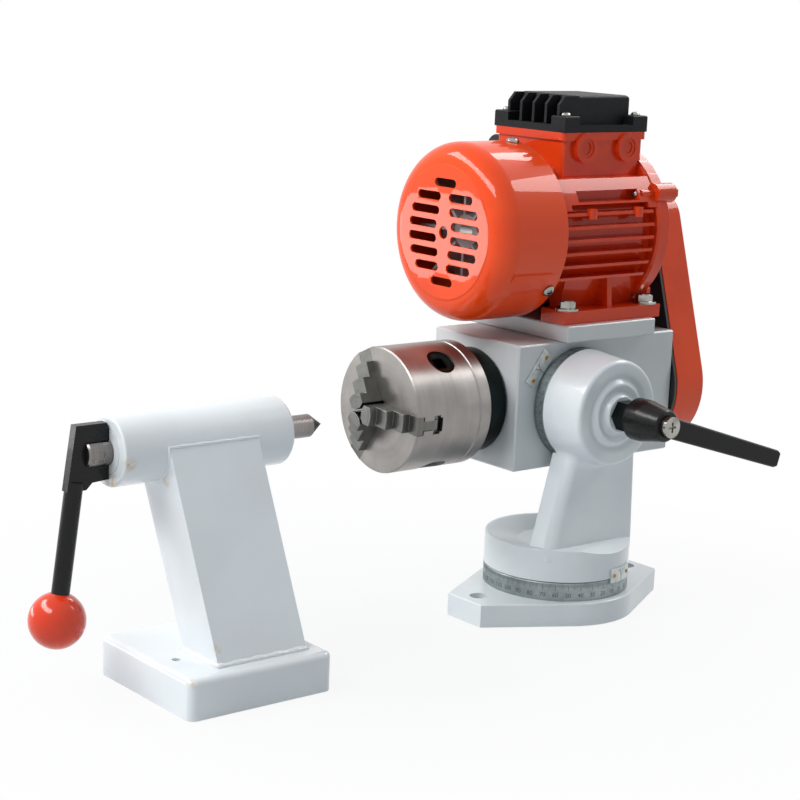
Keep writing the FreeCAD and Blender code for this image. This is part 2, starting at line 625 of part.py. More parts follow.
def make_housing():
    box = padded(rectangle("block_near", "block_low", "block_near + block_wide", "block_top"),
                 "block_long", ("-block_front", "0", "0"), "YZ_Plane")
    soften(box, "1", lambda e: True, "Chamfer")
    spigot = rod("tilt_spigot_dia / 2", "boss_back + block_near - face_gap + 3",
                 ("0", "-boss_back + face_gap", "axis_high"), "Y")
    bore = rod("housing_bore / 2", "block_long + 2", spindle_at("-block_front - 1"))
    front_seat = rod("bearing_dia / 2", "bearing_wide + 3", spindle_at("-block_front - 1"))
    rear_seat = rod("bearing_dia / 2", "bearing_wide + 3", spindle_at("block_rear - bearing_wide - 2"))
    stud_tap = rod("stud_dia / 2", "25", ("0", "block_near - 12", "axis_high"), "Y")
    taps = [rod("plate_screw / 2", "plate_tap + over", (x, y, "block_top - plate_tap"), "Z")
            for x, y in plate_screw_places()]
    node("spindle_housing", cut(fuse(box, spigot), bore, front_seat, rear_seat, stud_tap, *taps))
    node("tilt_stud", rod("stud_dia / 2", "block_near - insert_back + 19",
                          ("0", "insert_back - 7", "axis_high"), "Y"))
    bearings = []
    for start in ("-block_front + bearing_inset", "block_rear - bearing_wide - bearing_inset"):
        end = f"{start} + bearing_wide"
        inner, outer = "bearing_bore / 2 + race_thick", "bearing_dia / 2 - race_thick"
        bearings.append(turned([(start, "bearing_bore / 2 + run_gap"), (end, "bearing_bore / 2 + run_gap"),
                                (end, inner), (f"{end} - race_sunk", f"{inner} + race_sunk / 2"),
                                (f"{end} - race_sunk", f"{outer} - race_sunk / 2"), (end, outer),
                                (end, "bearing_dia / 2"), (start, "bearing_dia / 2"), (start, outer),
                                (f"{start} + race_sunk", f"{outer} - race_sunk / 2"),
                                (f"{start} + race_sunk", f"{inner} + race_sunk / 2"), (start, inner)],
                               spindle_at("0")))
    node("spindle_bearings", group(*bearings))


def plate_screw_places():
    return [(f"24 + {sx} * 30", f"axis_side + 5 + {sy} * 26") for sx in (-1, 1) for sy in (-1, 1)]


def make_spindle():
    seat = "bearing_bore / 2"
    front = "-block_front + 1.5 + bearing_wide"
    rear = "block_rear - bearing_wide - 1.5"
    node("spindle_shaft", turned([
        ("adapter_rear", "through_bore / 2"), ("guard_end - 5", "through_bore / 2"),
        ("guard_end - 5", "pulley_seat / 2"), ("guard_start + over", "pulley_seat / 2"),
        ("guard_start + over", seat),
        (rear, seat), (rear, f"{seat} + 3"), (front, f"{seat} + 3"), (front, seat),
        ("nose_face", seat), ("nose_face", "nose_seat / 2"), ("adapter_rear", "nose_seat / 2")],
        spindle_at("0")))
    flange = turned([("adapter_rear", "nose_seat / 2"), ("nose_face", "nose_seat / 2"),
                     ("nose_face", "nose_dia / 2 - 1"),
                     ("nose_face - 1", "nose_dia / 2"), ("adapter_rear + 3", "nose_dia / 2"),
                     ("adapter_rear", "nose_dia / 2 - 3")], spindle_at("0"))
    node("nose_flange", flange)
    adapter = turned([("chuck_rear", "through_bore / 2"), ("adapter_rear", "through_bore / 2"),
                      ("adapter_rear", "chuck_dia / 2 - 1"), ("adapter_rear - 1", "chuck_dia / 2"),
                      ("chuck_rear + edge_break", "chuck_dia / 2"),
                      ("chuck_rear + edge_break", "chuck_dia / 2 - edge_break"),
                      ("chuck_rear", "chuck_dia / 2 - edge_break")], spindle_at("0"))
    node("chuck_adapter", adapter)


def jaw_slot():
    """The space of one jaw slot, pointing along +Y from the spindle axis before it is turned."""
    reach = "chuck_dia / 2 + 2"
    outer = block(("jaw_lip + 1", reach, "jaw_wide"),
                  ("chuck_face - 1", "axis_side", "axis_high - jaw_wide / 2"))
    neck = block(("jaw_slot_deep", reach, "jaw_neck"),
                 ("chuck_face", "axis_side", "axis_high - jaw_neck / 2"))
    tee = block(("jaw_tee", reach, "jaw_wide"),
                ("slot_floor - jaw_tee", "axis_side", "axis_high - jaw_wide / 2"))
    teeth_room = block(("1.8", reach, "9"), ("slot_floor - 0.1", "axis_side", "axis_high - 4.5"))
    return fuse(outer, neck, tee, teeth_room)


def pinion_at(reach):
    return ("chuck_face + pinion_back", f"axis_side + {reach}", "axis_high")


def pinion_way():
    """The radial bore of one key pinion, pointing along +Y."""
    reach = "chuck_dia / 2 + over - pinion_root"
    barrel = rod("pinion_dia / 2 + run_gap", reach, pinion_at("pinion_root"), "Y")
    bevel = rod("bevel_room", "pinion_root + over - bevel_root", pinion_at("bevel_root"), "Y")
    return fuse(barrel, bevel)


def make_chuck():
    body = turned([("chuck_face", "through_bore / 2"), ("chuck_face", "chuck_dia / 2 - edge_break"),
                   ("chuck_face + edge_break", "chuck_dia / 2"), ("chuck_rear - edge_break", "chuck_dia / 2"),
                   ("chuck_rear", "chuck_dia / 2 - edge_break"), ("chuck_rear", "chuck_cavity_dia / 2"),
                   ("slot_floor", "chuck_cavity_dia / 2"), ("slot_floor", "through_bore / 2")],
                  spindle_at("0"))
    cuts = []
    for i in range(3):
        cuts.append(spun(jaw_slot(), size("jaw_angle") + 120 * i))
        cuts.append(spun(pinion_way(), size("jaw_angle") + 60 + 120 * i))
    node("chuck_body", cut(body, *cuts))
    cover = turned([("chuck_rear - 7", "chuck_cavity_dia / 2"), ("chuck_rear", "chuck_cavity_dia / 2"),
                    ("chuck_rear", "through_bore / 2"), ("slot_floor", "through_bore / 2"),
                    ("slot_floor", "hub_dia / 2"), ("chuck_rear - 7", "hub_dia / 2")], spindle_at("0"))
    node("chuck_cover", cover)
    make_scroll()
    make_jaws()
    make_pinions()


SCROLL_TOOTH = 1.5
SCROLL_START = 16.0
SCROLL_TURNS = 3.25


def spiral(start, turns, lead, along):
    """One Archimedean spiral in the plane across the spindle, as a smooth curve."""
    steps = int(turns * 16)
    points = []
    for i in range(steps + 1):
        turn = 2 * math.pi * turns * i / steps
        radius = start + lead * turn / (2 * math.pi)
        points.append(Vector(along, radius * math.cos(turn), radius * math.sin(turn)))
    curve = Part.BSplineCurve()
    curve.interpolate(points)
    return curve.toShape(), points[0], points[-1]


def make_scroll():
    """Scroll plate: a flat disc on the cover's tube, with a spiral rib toward the jaws."""
    rib_deep = 2.0
    disc = turned([("slot_floor + 2.2", "hub_dia / 2 + run_gap"), ("slot_floor + 7", "hub_dia / 2 + run_gap"),
                   ("slot_floor + 7", "chuck_cavity_dia / 2 - 5"),
                   ("slot_floor + 5", "chuck_cavity_dia / 2 - 0.5"),
                   ("slot_floor + 2.2", "chuck_cavity_dia / 2 - 0.5")], spindle_at("0"))
    lead = size("scroll_lead")
    along = size("slot_floor") + 2.2 - rib_deep
    inner, inner_start, inner_end = spiral(SCROLL_START - 1.6, SCROLL_TURNS, lead, along)
    outer, outer_start, outer_end = spiral(SCROLL_START - 1.6 + SCROLL_TOOTH, SCROLL_TURNS, lead, along)
    wire = Part.Wire(Part.__sortEdges__([inner, Part.makeLine(inner_start, outer_start), outer,
                                         Part.makeLine(outer_end, inner_end)]))
    rib = doc.addObject("Part::Feature", "Spiral_rib")
    rib.Shape = Part.Face(wire).extrude(Vector(rib_deep + 0.5, 0, 0))
    rib.Placement = Placement(Vector(0, size("axis_side"), size("axis_high")),
                              Rotation(ALONG, size("jaw_angle")))
    node("scroll_plate", fuse(disc, rib))


def make_jaws():
    """Three stepped jaws, each cut for its place on the spiral."""
    gap = "jaw_gap"
    for i in range(3):
        bar = block(("jaw_long", f"jaw_rise + jaw_lip - {gap}", "jaw_wide - 2 * jaw_gap"),
                    ("jaw_tip", "chuck_face - jaw_rise", "-jaw_wide / 2 + jaw_gap"))
        # Each step is a part of a cylinder round the spindle, so that it grips a bore evenly.
        top = common(bar, fuse(*[rod(f"jaw_tip + {step} * jaw_step", f"jaw_rise * {4 - step} / 3 + jaw_lip",
                                     ("0", f"chuck_face - jaw_rise * {4 - step} / 3", "0"), "Y")
                                 for step in (1, 2, 3)],
                                rod("jaw_tip + jaw_long + 2", "jaw_lip", ("0", "chuck_face", "0"), "Y")))
        neck = block(("jaw_long", "jaw_slot_deep - jaw_lip - 1", "jaw_neck - 2 * jaw_gap"),
                     ("jaw_tip", "chuck_face + jaw_lip - 1", "-jaw_neck / 2 + jaw_gap"))
        tee = block(("jaw_long - 8", "jaw_tee - 2 * jaw_gap", "jaw_wide - 2 * jaw_gap"),
                    ("jaw_tip + 6", "slot_floor - jaw_tee + jaw_gap", "-jaw_wide / 2 + jaw_gap"))
        # The tip is a wedge of 120 degrees, so that the three jaws close on each other.
        wedge = []
        for side in (-1, 1):
            tool = block(("20", "60", "20"), ("0", "chuck_face - 30", "0"))
            tool.Placement.Rotation = Rotation(ACROSS, -60) if side > 0 else Rotation(ACROSS, 150)
            tip = "jaw_tip - 1.4"
            bind(tool, "Placement.Base.x", tip)
            wedge.append(tool)
        solid = cut(fuse(top, neck, tee), *wedge)
        teeth = []
        reach = size("jaw_tip")
        lead = size("scroll_lead")
        first = SCROLL_START - 1.6 + SCROLL_TOOTH + (lead - SCROLL_TOOTH) / 2
        phase = ((120.0 * i) % 360) / 360.0
        radius = first + lead * phase - lead
        while radius < reach + size("jaw_long") - 4:
            if radius > size("hub_dia") / 2 + 2.6:
                teeth.append(radius)
            radius += lead
        pieces = [solid]
        for radius in teeth[:5]:
            shell = cut(rod(str(radius + 0.55), "1.6", ("0", "slot_floor - 0.2", "0"), "Y"),
                        rod(str(radius - 0.55), "3.6", ("0", "slot_floor - 1.2", "0"), "Y"))
            window = block(("40", "4", "8"), ("5", "slot_floor - 1", "-4"))
            pieces.append(common(shell, window))
        jaw = fuse(*pieces)
        # Built with its length along X and the spindle direction along Y, then laid over.
        copy = doc.addObject("Part::Compound", "Jaw_copy")
        copy.Links = [jaw]
        copy.Placement = Placement(Vector(0, size("axis_side"), size("axis_high")),
                                   Rotation(ALONG, size("jaw_angle") + 120 * i).multiply(JAW_LAY))
        node(f"jaw_{i + 1}", copy)


# Takes the jaw's own X to +Y, its own Y to +X and its own Z to -Z.
JAW_LAY = Rotation(Vector(1, 1, 0), 180)


def make_pinions():
    for i in range(3):
        barrel = rod("pinion_dia / 2", "chuck_dia / 2 - pinion_root - pinion_sunk",
                     pinion_at("pinion_root"), "Y")
        bevel = cone("bevel_room - 2.3", "bevel_room - 0.7", "pinion_root - bevel_root",
                     pinion_at("bevel_root + 0.5"), "Y")
        corner = pinion_at("pinion_root + over")
        socket = block(("pinion_key", "pinion_key * 1.5", "pinion_key"),
                       (f"{corner[0]} - pinion_key / 2", corner[1], f"{corner[2]} - pinion_key / 2"))
        rim = cone("pinion_key / 2 + 1", "pinion_dia / 2 - 1", "1.5", pinion_at("chuck_dia / 2 - 2.6"), "Y")
        pinion = cut(fuse(barrel, bevel), socket, rim)
        node(f"chuck_pinion_{i + 1}", spun(pinion, size("jaw_angle") + 60 + 120 * i))


# Motor

def make_motor_plate():
    outline = rectangle("-plate_front", "-plate_near", "plate_long - plate_front", "plate_wide - plate_near")
    plate = padded(outline, "plate_thick", ("0", "0", "plate_low"))
    soften(plate, "edge_break", lambda e: True, "Chamfer")
    ways = [rod("plate_screw / 2 + bolt_gap", "plate_thick + 2 * over", (x, y, "plate_low - over"), "Z")
            for x, y in plate_screw_places()]
    seats = [rod("plate_screw_head / 2 + bolt_gap", "plate_screw_deep + over",
                 (x, y, "plate_top - plate_screw_deep"), "Z") for x, y in plate_screw_places()]
    taps = [rod("foot_bolt_dia / 2", "plate_thick + 2 * over", (x, y, "plate_low - over"), "Z")
            for x, y in foot_bolt_places()]
    node("motor_plate", cut(plate, *ways, *seats, *taps))
    node("motor_plate_screws", group(*[
        fuse(rod("plate_screw / 2", "plate_thick + 4", (x, y, "block_top - 9"), "Z"),
             rod("plate_screw_head / 2", "plate_screw", (x, y, "plate_top - plate_screw_deep"), "Z"))
        for x, y in plate_screw_places()]))


def foot_bolt_places():
    middle = "foot_long / 2 - foot_front"
    return [(f"{middle} + {sx} * foot_bolt_gap / 2", f"motor_side + {sy} * foot_bolt_span / 2")
            for sx in (-1, 1) for sy in (-1, 1)]


FIN_COUNT = 6


def make_motor_frame():
    """Cast frame: a round core, level fins cut off by a circle, a flat shoulder and two feet."""
    core = rod("core_dia / 2", "frame_long", motor_at("-frame_front"))
    envelope = rod("frame_dia / 2", "frame_long", motor_at("-frame_front"))
    fins = [block(("frame_long - end_band / 2", "frame_dia", "fin_thick"),
                  ("-frame_front", "motor_side - frame_dia / 2",
                   f"motor_high + fin_low + fin_pitch * {i} - fin_thick / 2")) for i in range(FIN_COUNT)]
    shoulder = block(("frame_long", "frame_dia", "shoulder_high"),
                     ("-frame_front", "motor_side - frame_dia / 2", "motor_high + shoulder_low"))
    ends = [block(("end_band", "frame_dia", "shoulder_high"),
                  (x, "motor_side - frame_dia / 2", "motor_high + shoulder_low - end_band / 2"))
            for x in ("-frame_front", "frame_rear - end_band")]
    ribbed = common(fuse(*fins, shoulder, *ends), envelope)
    bosses = [rod("fin_boss / 2", "fin_pitch - fin_thick",
                  (x, f"motor_side + {side} * (frame_dia / 2 - fin_boss / 3)", "motor_high + fin_boss_low"),
                  "Z")
              for x in ("0", "frame_long / 2") for side in (-1, 1)]
    channels = [block(("frame_long - 2 * channel_inset", "2 * channel_high", "channel_high"),
                      ("-frame_front + channel_inset",
                       f"motor_side + {side} * (frame_dia / 2 - channel_high) - channel_high",
                       "motor_high + shoulder_low + channel_wall"))
                for side in (-1, 1)]
    feet = []
    for side in (-1, 1):
        low_y = f"motor_side + {side} * (foot_span / 2 - foot_wide / 2) - foot_wide / 2"
        feet.append(block(("foot_long", "foot_wide", "foot_thick"), ("-foot_front", low_y, "plate_top")))
        outer = f"motor_side + {side} * (foot_span / 2 - foot_wide + web_thick)"
        inner = f"motor_side + {side} * (foot_span / 2 - foot_wide)"
        web = padded([(inner, "plate_top"), (outer, "plate_top"), (outer, "plate_top + foot_thick"),
                      (f"motor_side + {side} * core_dia * 0.4", "motor_high - web_top"),
                      (f"motor_side + {side} * web_near", "motor_high - web_top")],
                     "frame_long - foot_front", ("(foot_long - foot_front - frame_long) / 2", "0", "0"),
                     "YZ_Plane")
        rib = padded([(f"motor_side + {side} * web_near", "plate_top + foot_thick / 4"),
                      (f"motor_side + {side} * (foot_span / 2 - rib_thick)",
                       "plate_top + foot_thick - edge_break"),
                      (f"motor_side + {side} * core_dia * 0.45", "motor_high - web_top"),
                      (f"motor_side + {side} * web_near", "motor_high - web_top")],
                     "rib_thick", ("foot_long / 2 - foot_front - rib_thick / 2", "0", "0"), "YZ_Plane")
        feet.extend([web, rib])
    body = fuse(core, ribbed, *bosses, *feet)
    ways = [rod("foot_bolt_dia / 2 + bolt_gap", "foot_thick + 2 * over", (x, y, "plate_top - over"), "Z")
            for x, y in foot_bolt_places()]
    inside = rod("core_dia / 2 - core_wall", "frame_long + 2 * over", motor_at("-frame_front - over"))
    bolts = [rod("2.5", "14", (x, y, z)) for x, y, z in shield_bolt_places("frame_rear - 12")]
    shield_room = rod("shield_dia / 2 + face_gap", "shield_long + 4", motor_at("frame_rear"))
    node("motor_frame", cut(body, *channels, *ways, inside, *bolts, shield_room))
    foot_top = "plate_top + foot_thick"
    bolts = [fuse(rod("foot_bolt_dia / 2", "foot_thick + plate_thick", (x, y, "plate_low + 1.5"), "Z"),
                  prism(6, "5.6", "4.2", (x, y, f"{foot_top} + washer_thick"), "Z"),
                  rod("4.4", "1.2", (x, y, f"{foot_top} + washer_thick + 3.6"), "Z"))
             for x, y in foot_bolt_places()]
    washers = [cut(rod("8", "washer_thick", (x, y, foot_top), "Z"),
                   rod("foot_bolt_dia / 2", "washer_thick + 2 * over", (x, y, f"{foot_top} - over"), "Z"))
               for x, y in foot_bolt_places()]
    node("motor_foot_bolts", group(*bolts, *washers))
    low, high = "-frame_front + stator_inset", "frame_rear - stator_inset"
    seat = "core_dia / 2 - core_wall"
    node("stator", turned([(low, "stator_bore / 2"), (high, "stator_bore / 2"), (high, seat), (low, seat)],
                          motor_at("0")))


def shield_bolt_places(along):
    return [(along, f"motor_side + {side} * 47.5", "motor_high + 25.5") for side in (-1, 1)] + \
           [(along, f"motor_side + {side} * 28", "motor_high - 43") for side in (-1, 1)]


COWL_SCREW_X = "-frame_front - 5"
COWL_SCREWS = [96.0, 216.0, 336.0]


def make_shields():
    """Drive-end shield outside the frame and fan-end shield under the cowl, each with a bearing seat."""
    end = "frame_rear + shield_long"
    rear = turned([("frame_rear", "core_dia / 2 - core_wall"), ("frame_rear", "shield_dia / 2 - 1.5"),
                   ("frame_rear + 1.5", "shield_dia / 2"), (f"{end} - shield_slope", "shield_dia / 2"),
                   (end, "shield_dia / 2 - shield_slope"), (end, "24"), (f"{end} + 4", "20"),
                   (f"{end} + 4", "shaft_dia / 2 + 1"), (f"{end} - 2", "shaft_dia / 2 + 1"),
                   (f"{end} - 2", "motor_bearing / 2"), ("frame_rear + 4", "motor_bearing / 2"),
                   ("frame_rear + 4", "core_dia / 2 - 8")], motor_at("0"))
    lugs = [rod("6.5", "shield_long", (x, y, z)) for x, y, z in shield_bolt_places("frame_rear")[:2]]
    ways = [rod("2.6", "shield_long + 2 * over", (x, y, z))
            for x, y, z in shield_bolt_places("frame_rear - over")]
    node("drive_shield", cut(fuse(rear, *lugs), *ways))
    start = "-frame_front"
    rim = "cowl_dia / 2 - cowl_wall - run_gap"
    front = turned([(start, "core_dia / 2 - core_wall"), (start, rim), (f"{start} - 9", rim),
                    (f"{start} - 9", "46"), (f"{start} - 5", "42"), (f"{start} - 5", "22"),
                    (f"{start} - 12", "20"), (f"{start} - 12", "shaft_dia / 2 + 1"),
                    (f"{start} - 10", "shaft_dia / 2 + 1"), (f"{start} - 10", "motor_bearing / 2"),
                    (start, "motor_bearing / 2")], motor_at("0"))
    middle = Vector(0, size("motor_side"), size("motor_high"))
    tap = (COWL_SCREW_X, "motor_side + cowl_dia / 2 - 10", "motor_high")
    taps = [spun(rod("2", "10", tap, "Y"), angle, middle) for angle in COWL_SCREWS]
    node("fan_shield", cut(front, *taps))
    node("shield_bolts", group(*[
        fuse(rod("2.5", "shield_long + 11", (x, y, z)),
             prism(6, "4.6", "3.4", (f"{x} + shield_long + 11", y, z)))
        for x, y, z in shield_bolt_places("frame_rear - 11")]))
    bearing = [turned([(x, "shaft_dia / 2 + run_gap"), (f"{x} + 10", "shaft_dia / 2 + run_gap"),
                       (f"{x} + 10", "motor_bearing / 2"), (x, "motor_bearing / 2")], motor_at("0"))
               for x in ("-frame_front - 10", "frame_rear + shield_long - 12")]
    node("motor_bearings", group(*bearing))


COVER_SCREWS = []
VENT_HIGH = 5.3
VENT_PITCH = 9.0
# Rows of vents: height in half pitches from the shaft, near end and far end from the middle line.
VENT_ROWS = [(0.5, 7.0, 34.0), (1.5, 5.0, 32.0), (2.5, 4.0, 26.5)]


def vent(low_y, high_y, middle_z):
    half = VENT_HIGH / 2
    start = "-frame_front - cowl_long - 2"
    bar = block(("6", str(high_y - low_y - VENT_HIGH), str(VENT_HIGH)),
                (start, f"motor_side + {low_y + half}", f"motor_high + {middle_z - half}"))
    caps = [rod(str(half), "6", (start, f"motor_side + {y}", f"motor_high + {middle_z}"))
            for y in (low_y + half, high_y - half)]
    return fuse(bar, *caps)


def cross_screw(radius, length, head, high, at, axis):
    """A pan-head screw with a cross recess; its head sits on the given place, its shank runs back."""
    shape = turned([(f"-({length})", "0"), (f"-({length})", radius), ("0", radius), ("0", head),
                    (f"{high} * 0.4", head), (f"{high} * 0.8", f"{head} * 0.8"), (high, f"{head} * 0.45"),
                    (high, "0")])
    arms = [block((f"{high} * 0.7", f"{head} * {wide}", f"{head} * {tall}"),
                  (f"{high} * 0.45", f"-{head} * {wide / 2}", f"-{head} * {tall / 2}"))
            for wide, tall in ((1.15, 0.28), (0.28, 1.15))]
    cross = cut(shape, *arms)
    turn = {"Y": Rotation(UP, 90), "Z": Rotation(ACROSS, -90)}[axis]
    holder = doc.addObject("Part::Compound", "Screw")
    holder.Links = [cross]
    return place(holder, at, turn)


def make_cowl():
    """Fan cowl: a drawn cup with a big round to its end, vented by rows of level slots."""
    shell = turned([("-frame_front", "cowl_dia / 2"), ("-frame_front - cowl_long", "cowl_dia / 2"),
                    ("-frame_front - cowl_long", "0"), ("-frame_front - cowl_long + cowl_wall", "0"),
                    ("-frame_front - cowl_long + cowl_wall", "cowl_dia / 2 - cowl_wall"),
                    ("-frame_front", "cowl_dia / 2 - cowl_wall")], motor_at("0"))
    end = -size("frame_front") - size("cowl_long")
    wall = size("cowl_wall")
    soften(shell, "cowl_round", both(circle_of(size("cowl_dia") / 2), lies_at("X", end)))
    inner_edge = both(circle_of(size("cowl_dia") / 2 - wall), lies_at("X", end + wall))
    soften(shell, "cowl_round - cowl_wall", inner_edge)
    vents = []
    for half_pitch, near, far in VENT_ROWS:
        for up in (-1, 1):
            middle = up * half_pitch * VENT_PITCH
            vents.append(vent(near, far, middle))
            vents.append(vent(-far, -near, middle))
    vents.extend(vent(-10.3, 10.3, up * 3.5 * VENT_PITCH) for up in (-1, 1))
    hole = rod("4", "6", motor_at("-frame_front - cowl_long - 2"))
    middle = Vector(0, size("motor_side"), size("motor_high"))
    way = (COWL_SCREW_X, "motor_side + cowl_dia / 2 - 5", "motor_high")
    ways = [spun(rod("2.2", "8", way, "Y"), angle, middle)
            for angle in COWL_SCREWS]
    node("fan_cowl", cut(shell, *vents, hole, *ways))
    COVER_SCREWS.extend([
        spun(cross_screw("2", "8.5", "4.2", "2.6", (COWL_SCREW_X, "motor_side + cowl_dia / 2", "motor_high"),
                         "Y"), angle, middle) for angle in COWL_SCREWS])


def make_rotor():
    shaft = turned([("-frame_front - 36", "0"), ("-frame_front - 36", "shaft_dia / 2 - 1"),
                    ("-frame_front - 12", "shaft_dia / 2 - 1"), ("-frame_front - 12", "shaft_dia / 2"),
                    ("-frame_front + 3", "shaft_dia / 2"), ("-frame_front + 3", "shaft_dia / 2 + 3"),
                    ("frame_rear + 4", "shaft_dia / 2 + 3"), ("frame_rear + 4", "shaft_dia / 2"),
                    ("guard_end - 4", "shaft_dia / 2"), ("guard_end - 4", "0")], motor_at("0"))
    node("motor_shaft", shaft)
    low, high = "-frame_front + stator_inset - 1", "frame_rear - stator_inset + 1"
    node("rotor_core", turned([(low, "shaft_dia / 2 + 3"), (high, "shaft_dia / 2 + 3"),
                               (high, "stator_bore / 2 - 0.5"), (low, "stator_bore / 2 - 0.5")],
                              motor_at("0")))
    hub = turned([("-frame_front - 36", "shaft_dia / 2 - 1"), ("-frame_front - 16", "shaft_dia / 2 - 1"),
                  ("-frame_front - 16", "13"), ("-frame_front - 20", "40"), ("-frame_front - 22", "40"),
                  ("-frame_front - 22", "14"), ("-frame_front - 36", "11")], motor_at("0"))
    middle = Vector(0, size("motor_side"), size("motor_high"))
    blade = ("-frame_front - 38", "motor_side + 11", "motor_high - 1")
    blades = [spun(block(("20", "cowl_dia / 2 - 25", "2"), blade), 360.0 * i / FAN_BLADES, middle)
              for i in range(FAN_BLADES)]
    node("cooling_fan", fuse(hub, *blades))


FAN_BLADES = 8


def make_terminal_box():
    """Terminal box with a lip under its lid and two round cable bosses on the near side."""
    near = "motor_side - box_wide / 2"
    low = "motor_high + box_rise"
    wall = padded(rectangle("-box_front + box_lip", f"{near} + box_lip",
                            "box_long - box_front - box_lip", f"{near} + box_wide - box_lip"),
                  "box_high", ("0", "0", low))
    soften(wall, "3", runs_along(UP))
    lip = padded(rectangle("-box_front", near, "-box_front + box_long", f"{near} + box_wide"), "5",
                 ("0", "0", "lid_low - 5"))
    soften(lip, "3", runs_along(UP))
    bosses = [rod("entry_dia / 2", "4", (str(x), f"{near} - 2", f"{low} + entry_high"), "Y")
              for x in ENTRY_PLACES]
    hollow = block(("box_long - 2 * (box_lip + box_wall)", "box_wide - 2 * (box_lip + box_wall)", "box_high"),
                   ("-box_front + box_lip + box_wall", f"{near} + box_lip + box_wall", f"{low} + 4"))
    mouths = [rod("plug_dia / 2", "9", (str(x), f"{near} - 3", f"{low} + entry_high"), "Y")
              for x in ENTRY_PLACES]
    gland_way = rod("6", "9", (GLAND_X, f"{near} + box_wide - 7", f"{low} + gland_high"), "Y")
    saddle = rod("core_dia / 2", "frame_long", motor_at("-frame_front"))
    shield_room = rod("shield_dia / 2 + face_gap", "shield_long + 4", motor_at("frame_rear - face_gap"))
    shell = cut(fuse(wall, lip, *bosses), hollow, *mouths, gland_way)
    posts = [rod("3.8", "12", (x, y, "lid_low - 12"), "Z") for x, y in lid_screw_places()]
    taps = [rod("2", "14", (x, y, "lid_low - 10"), "Z") for x, y in lid_screw_places()]
    node("terminal_box", cut(fuse(shell, *posts), saddle, shield_room, gland_way, *taps))
    node("entry_plugs", group(*[
        cut(rod("plug_dia / 2", "6", (str(x), f"{near} - 1.2", f"{low} + entry_high"), "Y"),
            rod("plug_dia / 3", "2", (str(x), f"{near} - 2.2", f"{low} + entry_high"), "Y"))
        for x in ENTRY_PLACES]))
    far = f"{near} + box_wide - box_lip"
    gland = fuse(rod("6", "7", (GLAND_X, f"{far} - 5", f"{low} + gland_high"), "Y"),
                 prism(6, "9.2", "5", (GLAND_X, far, f"{low} + gland_high"), "Y"),
                 rod("7.5", "11", (GLAND_X, f"{far} + 4", f"{low} + gland_high"), "Y"))
    node("cable_gland", cut(gland, rod("3.5", "30", (GLAND_X, f"{far} - 8", f"{low} + gland_high"), "Y")))


ENTRY_PLACES = (9.3, 46.9)
GLAND_X = "4"
LID_FINS = 4


def make_lid():
    """Ribbed lid: a flange with four screw bosses, a raised middle and cooling ribs at its fan end."""
    near = "motor_side - box_wide / 2"
    left = "-box_front"
    flange = padded(rectangle(left, near, "box_long - box_front", f"{near} + box_wide"),
                    "lid_flange", ("0", "0", "lid_low"))
    soften(flange, "2", runs_along(UP))
    bosses = []
    for x in (left, "-box_front + box_long - lid_boss"):
        for y in (near, f"{near} + box_wide - lid_boss"):
            boss = padded(rectangle(x, y, f"{x} + lid_boss", f"{y} + lid_boss"),
                          "lid_boss_high", ("0", "0", "lid_low"))
            soften(boss, "1.2", lies_at("Z", size("lid_boss_high")))
            bosses.append(boss)
    crown = padded(rectangle("-box_front + lid_boss + 1", f"{near} + crown_inset",
                             "-box_front + box_long - crown_inset", f"{near} + box_wide - crown_inset"),
                   "lid_high", ("0", "0", "lid_low"))
    soften(crown, "2.5", both(lies_at("Z", size("lid_high")), lambda e: True))
    fins = []
    for i in range(LID_FINS + 1):
        y = f"{near} + crown_inset + {i} * (box_wide - 2 * crown_inset - lid_fin) / {LID_FINS}"
        top = "lid_low + lid_high - 0.4"
        fin = padded([("3 - box_front", "lid_low + 1"), ("20 - box_front", "lid_low + 1"),
                      ("20 - box_front", top),
                      ("8 - box_front", top), ("3 - box_front", "lid_low + lid_high - 6")],
                     "lid_fin", ("0", f"{y} + lid_fin", "0"), "XZ_Plane")
        fins.append(fin)
    taps = [rod("2.1", "lid_boss_high + 2", (x, y, "lid_low - 1"), "Z") for x, y in lid_screw_places()]
    trays = [block(("box_long - 32", "5.6", "2"), ("-box_front + 16", y, "lid_low + lid_flange - 1.2"))
             for y in (f"{near} + 1.6", f"{near} + box_wide - 7.2")]
    node("terminal_lid", cut(fuse(cut(flange, *trays), *bosses, crown, *fins), *taps))
    COVER_SCREWS.extend([
        cross_screw("2", "lid_boss_high + 4", "3.1", "2.2", (x, y, "lid_low + lid_boss_high"), "Z")
        for x, y in lid_screw_places()])
    node("cover_screws", group(*COVER_SCREWS))


def lid_screw_places():
    near = "motor_side - box_wide / 2"
    return [(x, y) for x in ("-box_front + lid_screw_inset", "-box_front + box_long - lid_screw_inset")
            for y in (f"{near} + lid_screw_inset", f"{near} + box_wide - lid_screw_inset")]


# Belt drive

def belt_form(low_radius, top_radius, start, length):
    """A solid bounded by one circle round each pulley axis and the two lines that touch both."""
    lean = "atan2(belt_shift; belt_rise)"
    spread = f"asin(({low_radius} - ({top_radius})) / belt_span)"
    points = []
    ends = ((low_radius, "axis_side", "axis_high"), (top_radius, "motor_side", "motor_high"))
    for radius, side_y, side_z in ends:
        for side in (-1, 1):
            angle = f"(90 deg + {side} * (90 deg - ({spread})) - ({lean}))"
            points.append((f"{side_y} + ({radius}) * cos{angle}", f"{side_z} + ({radius}) * sin{angle}"))
    ordered = [points[0], points[1], points[3], points[2]]
    middle = padded(ordered, length, (start, "0", "0"), "YZ_Plane")
    low = rod(low_radius, length, (start, "axis_side", "axis_high"))
    top = rod(top_radius, length, (start, "motor_side", "motor_high"))
    return fuse(low, top, middle)


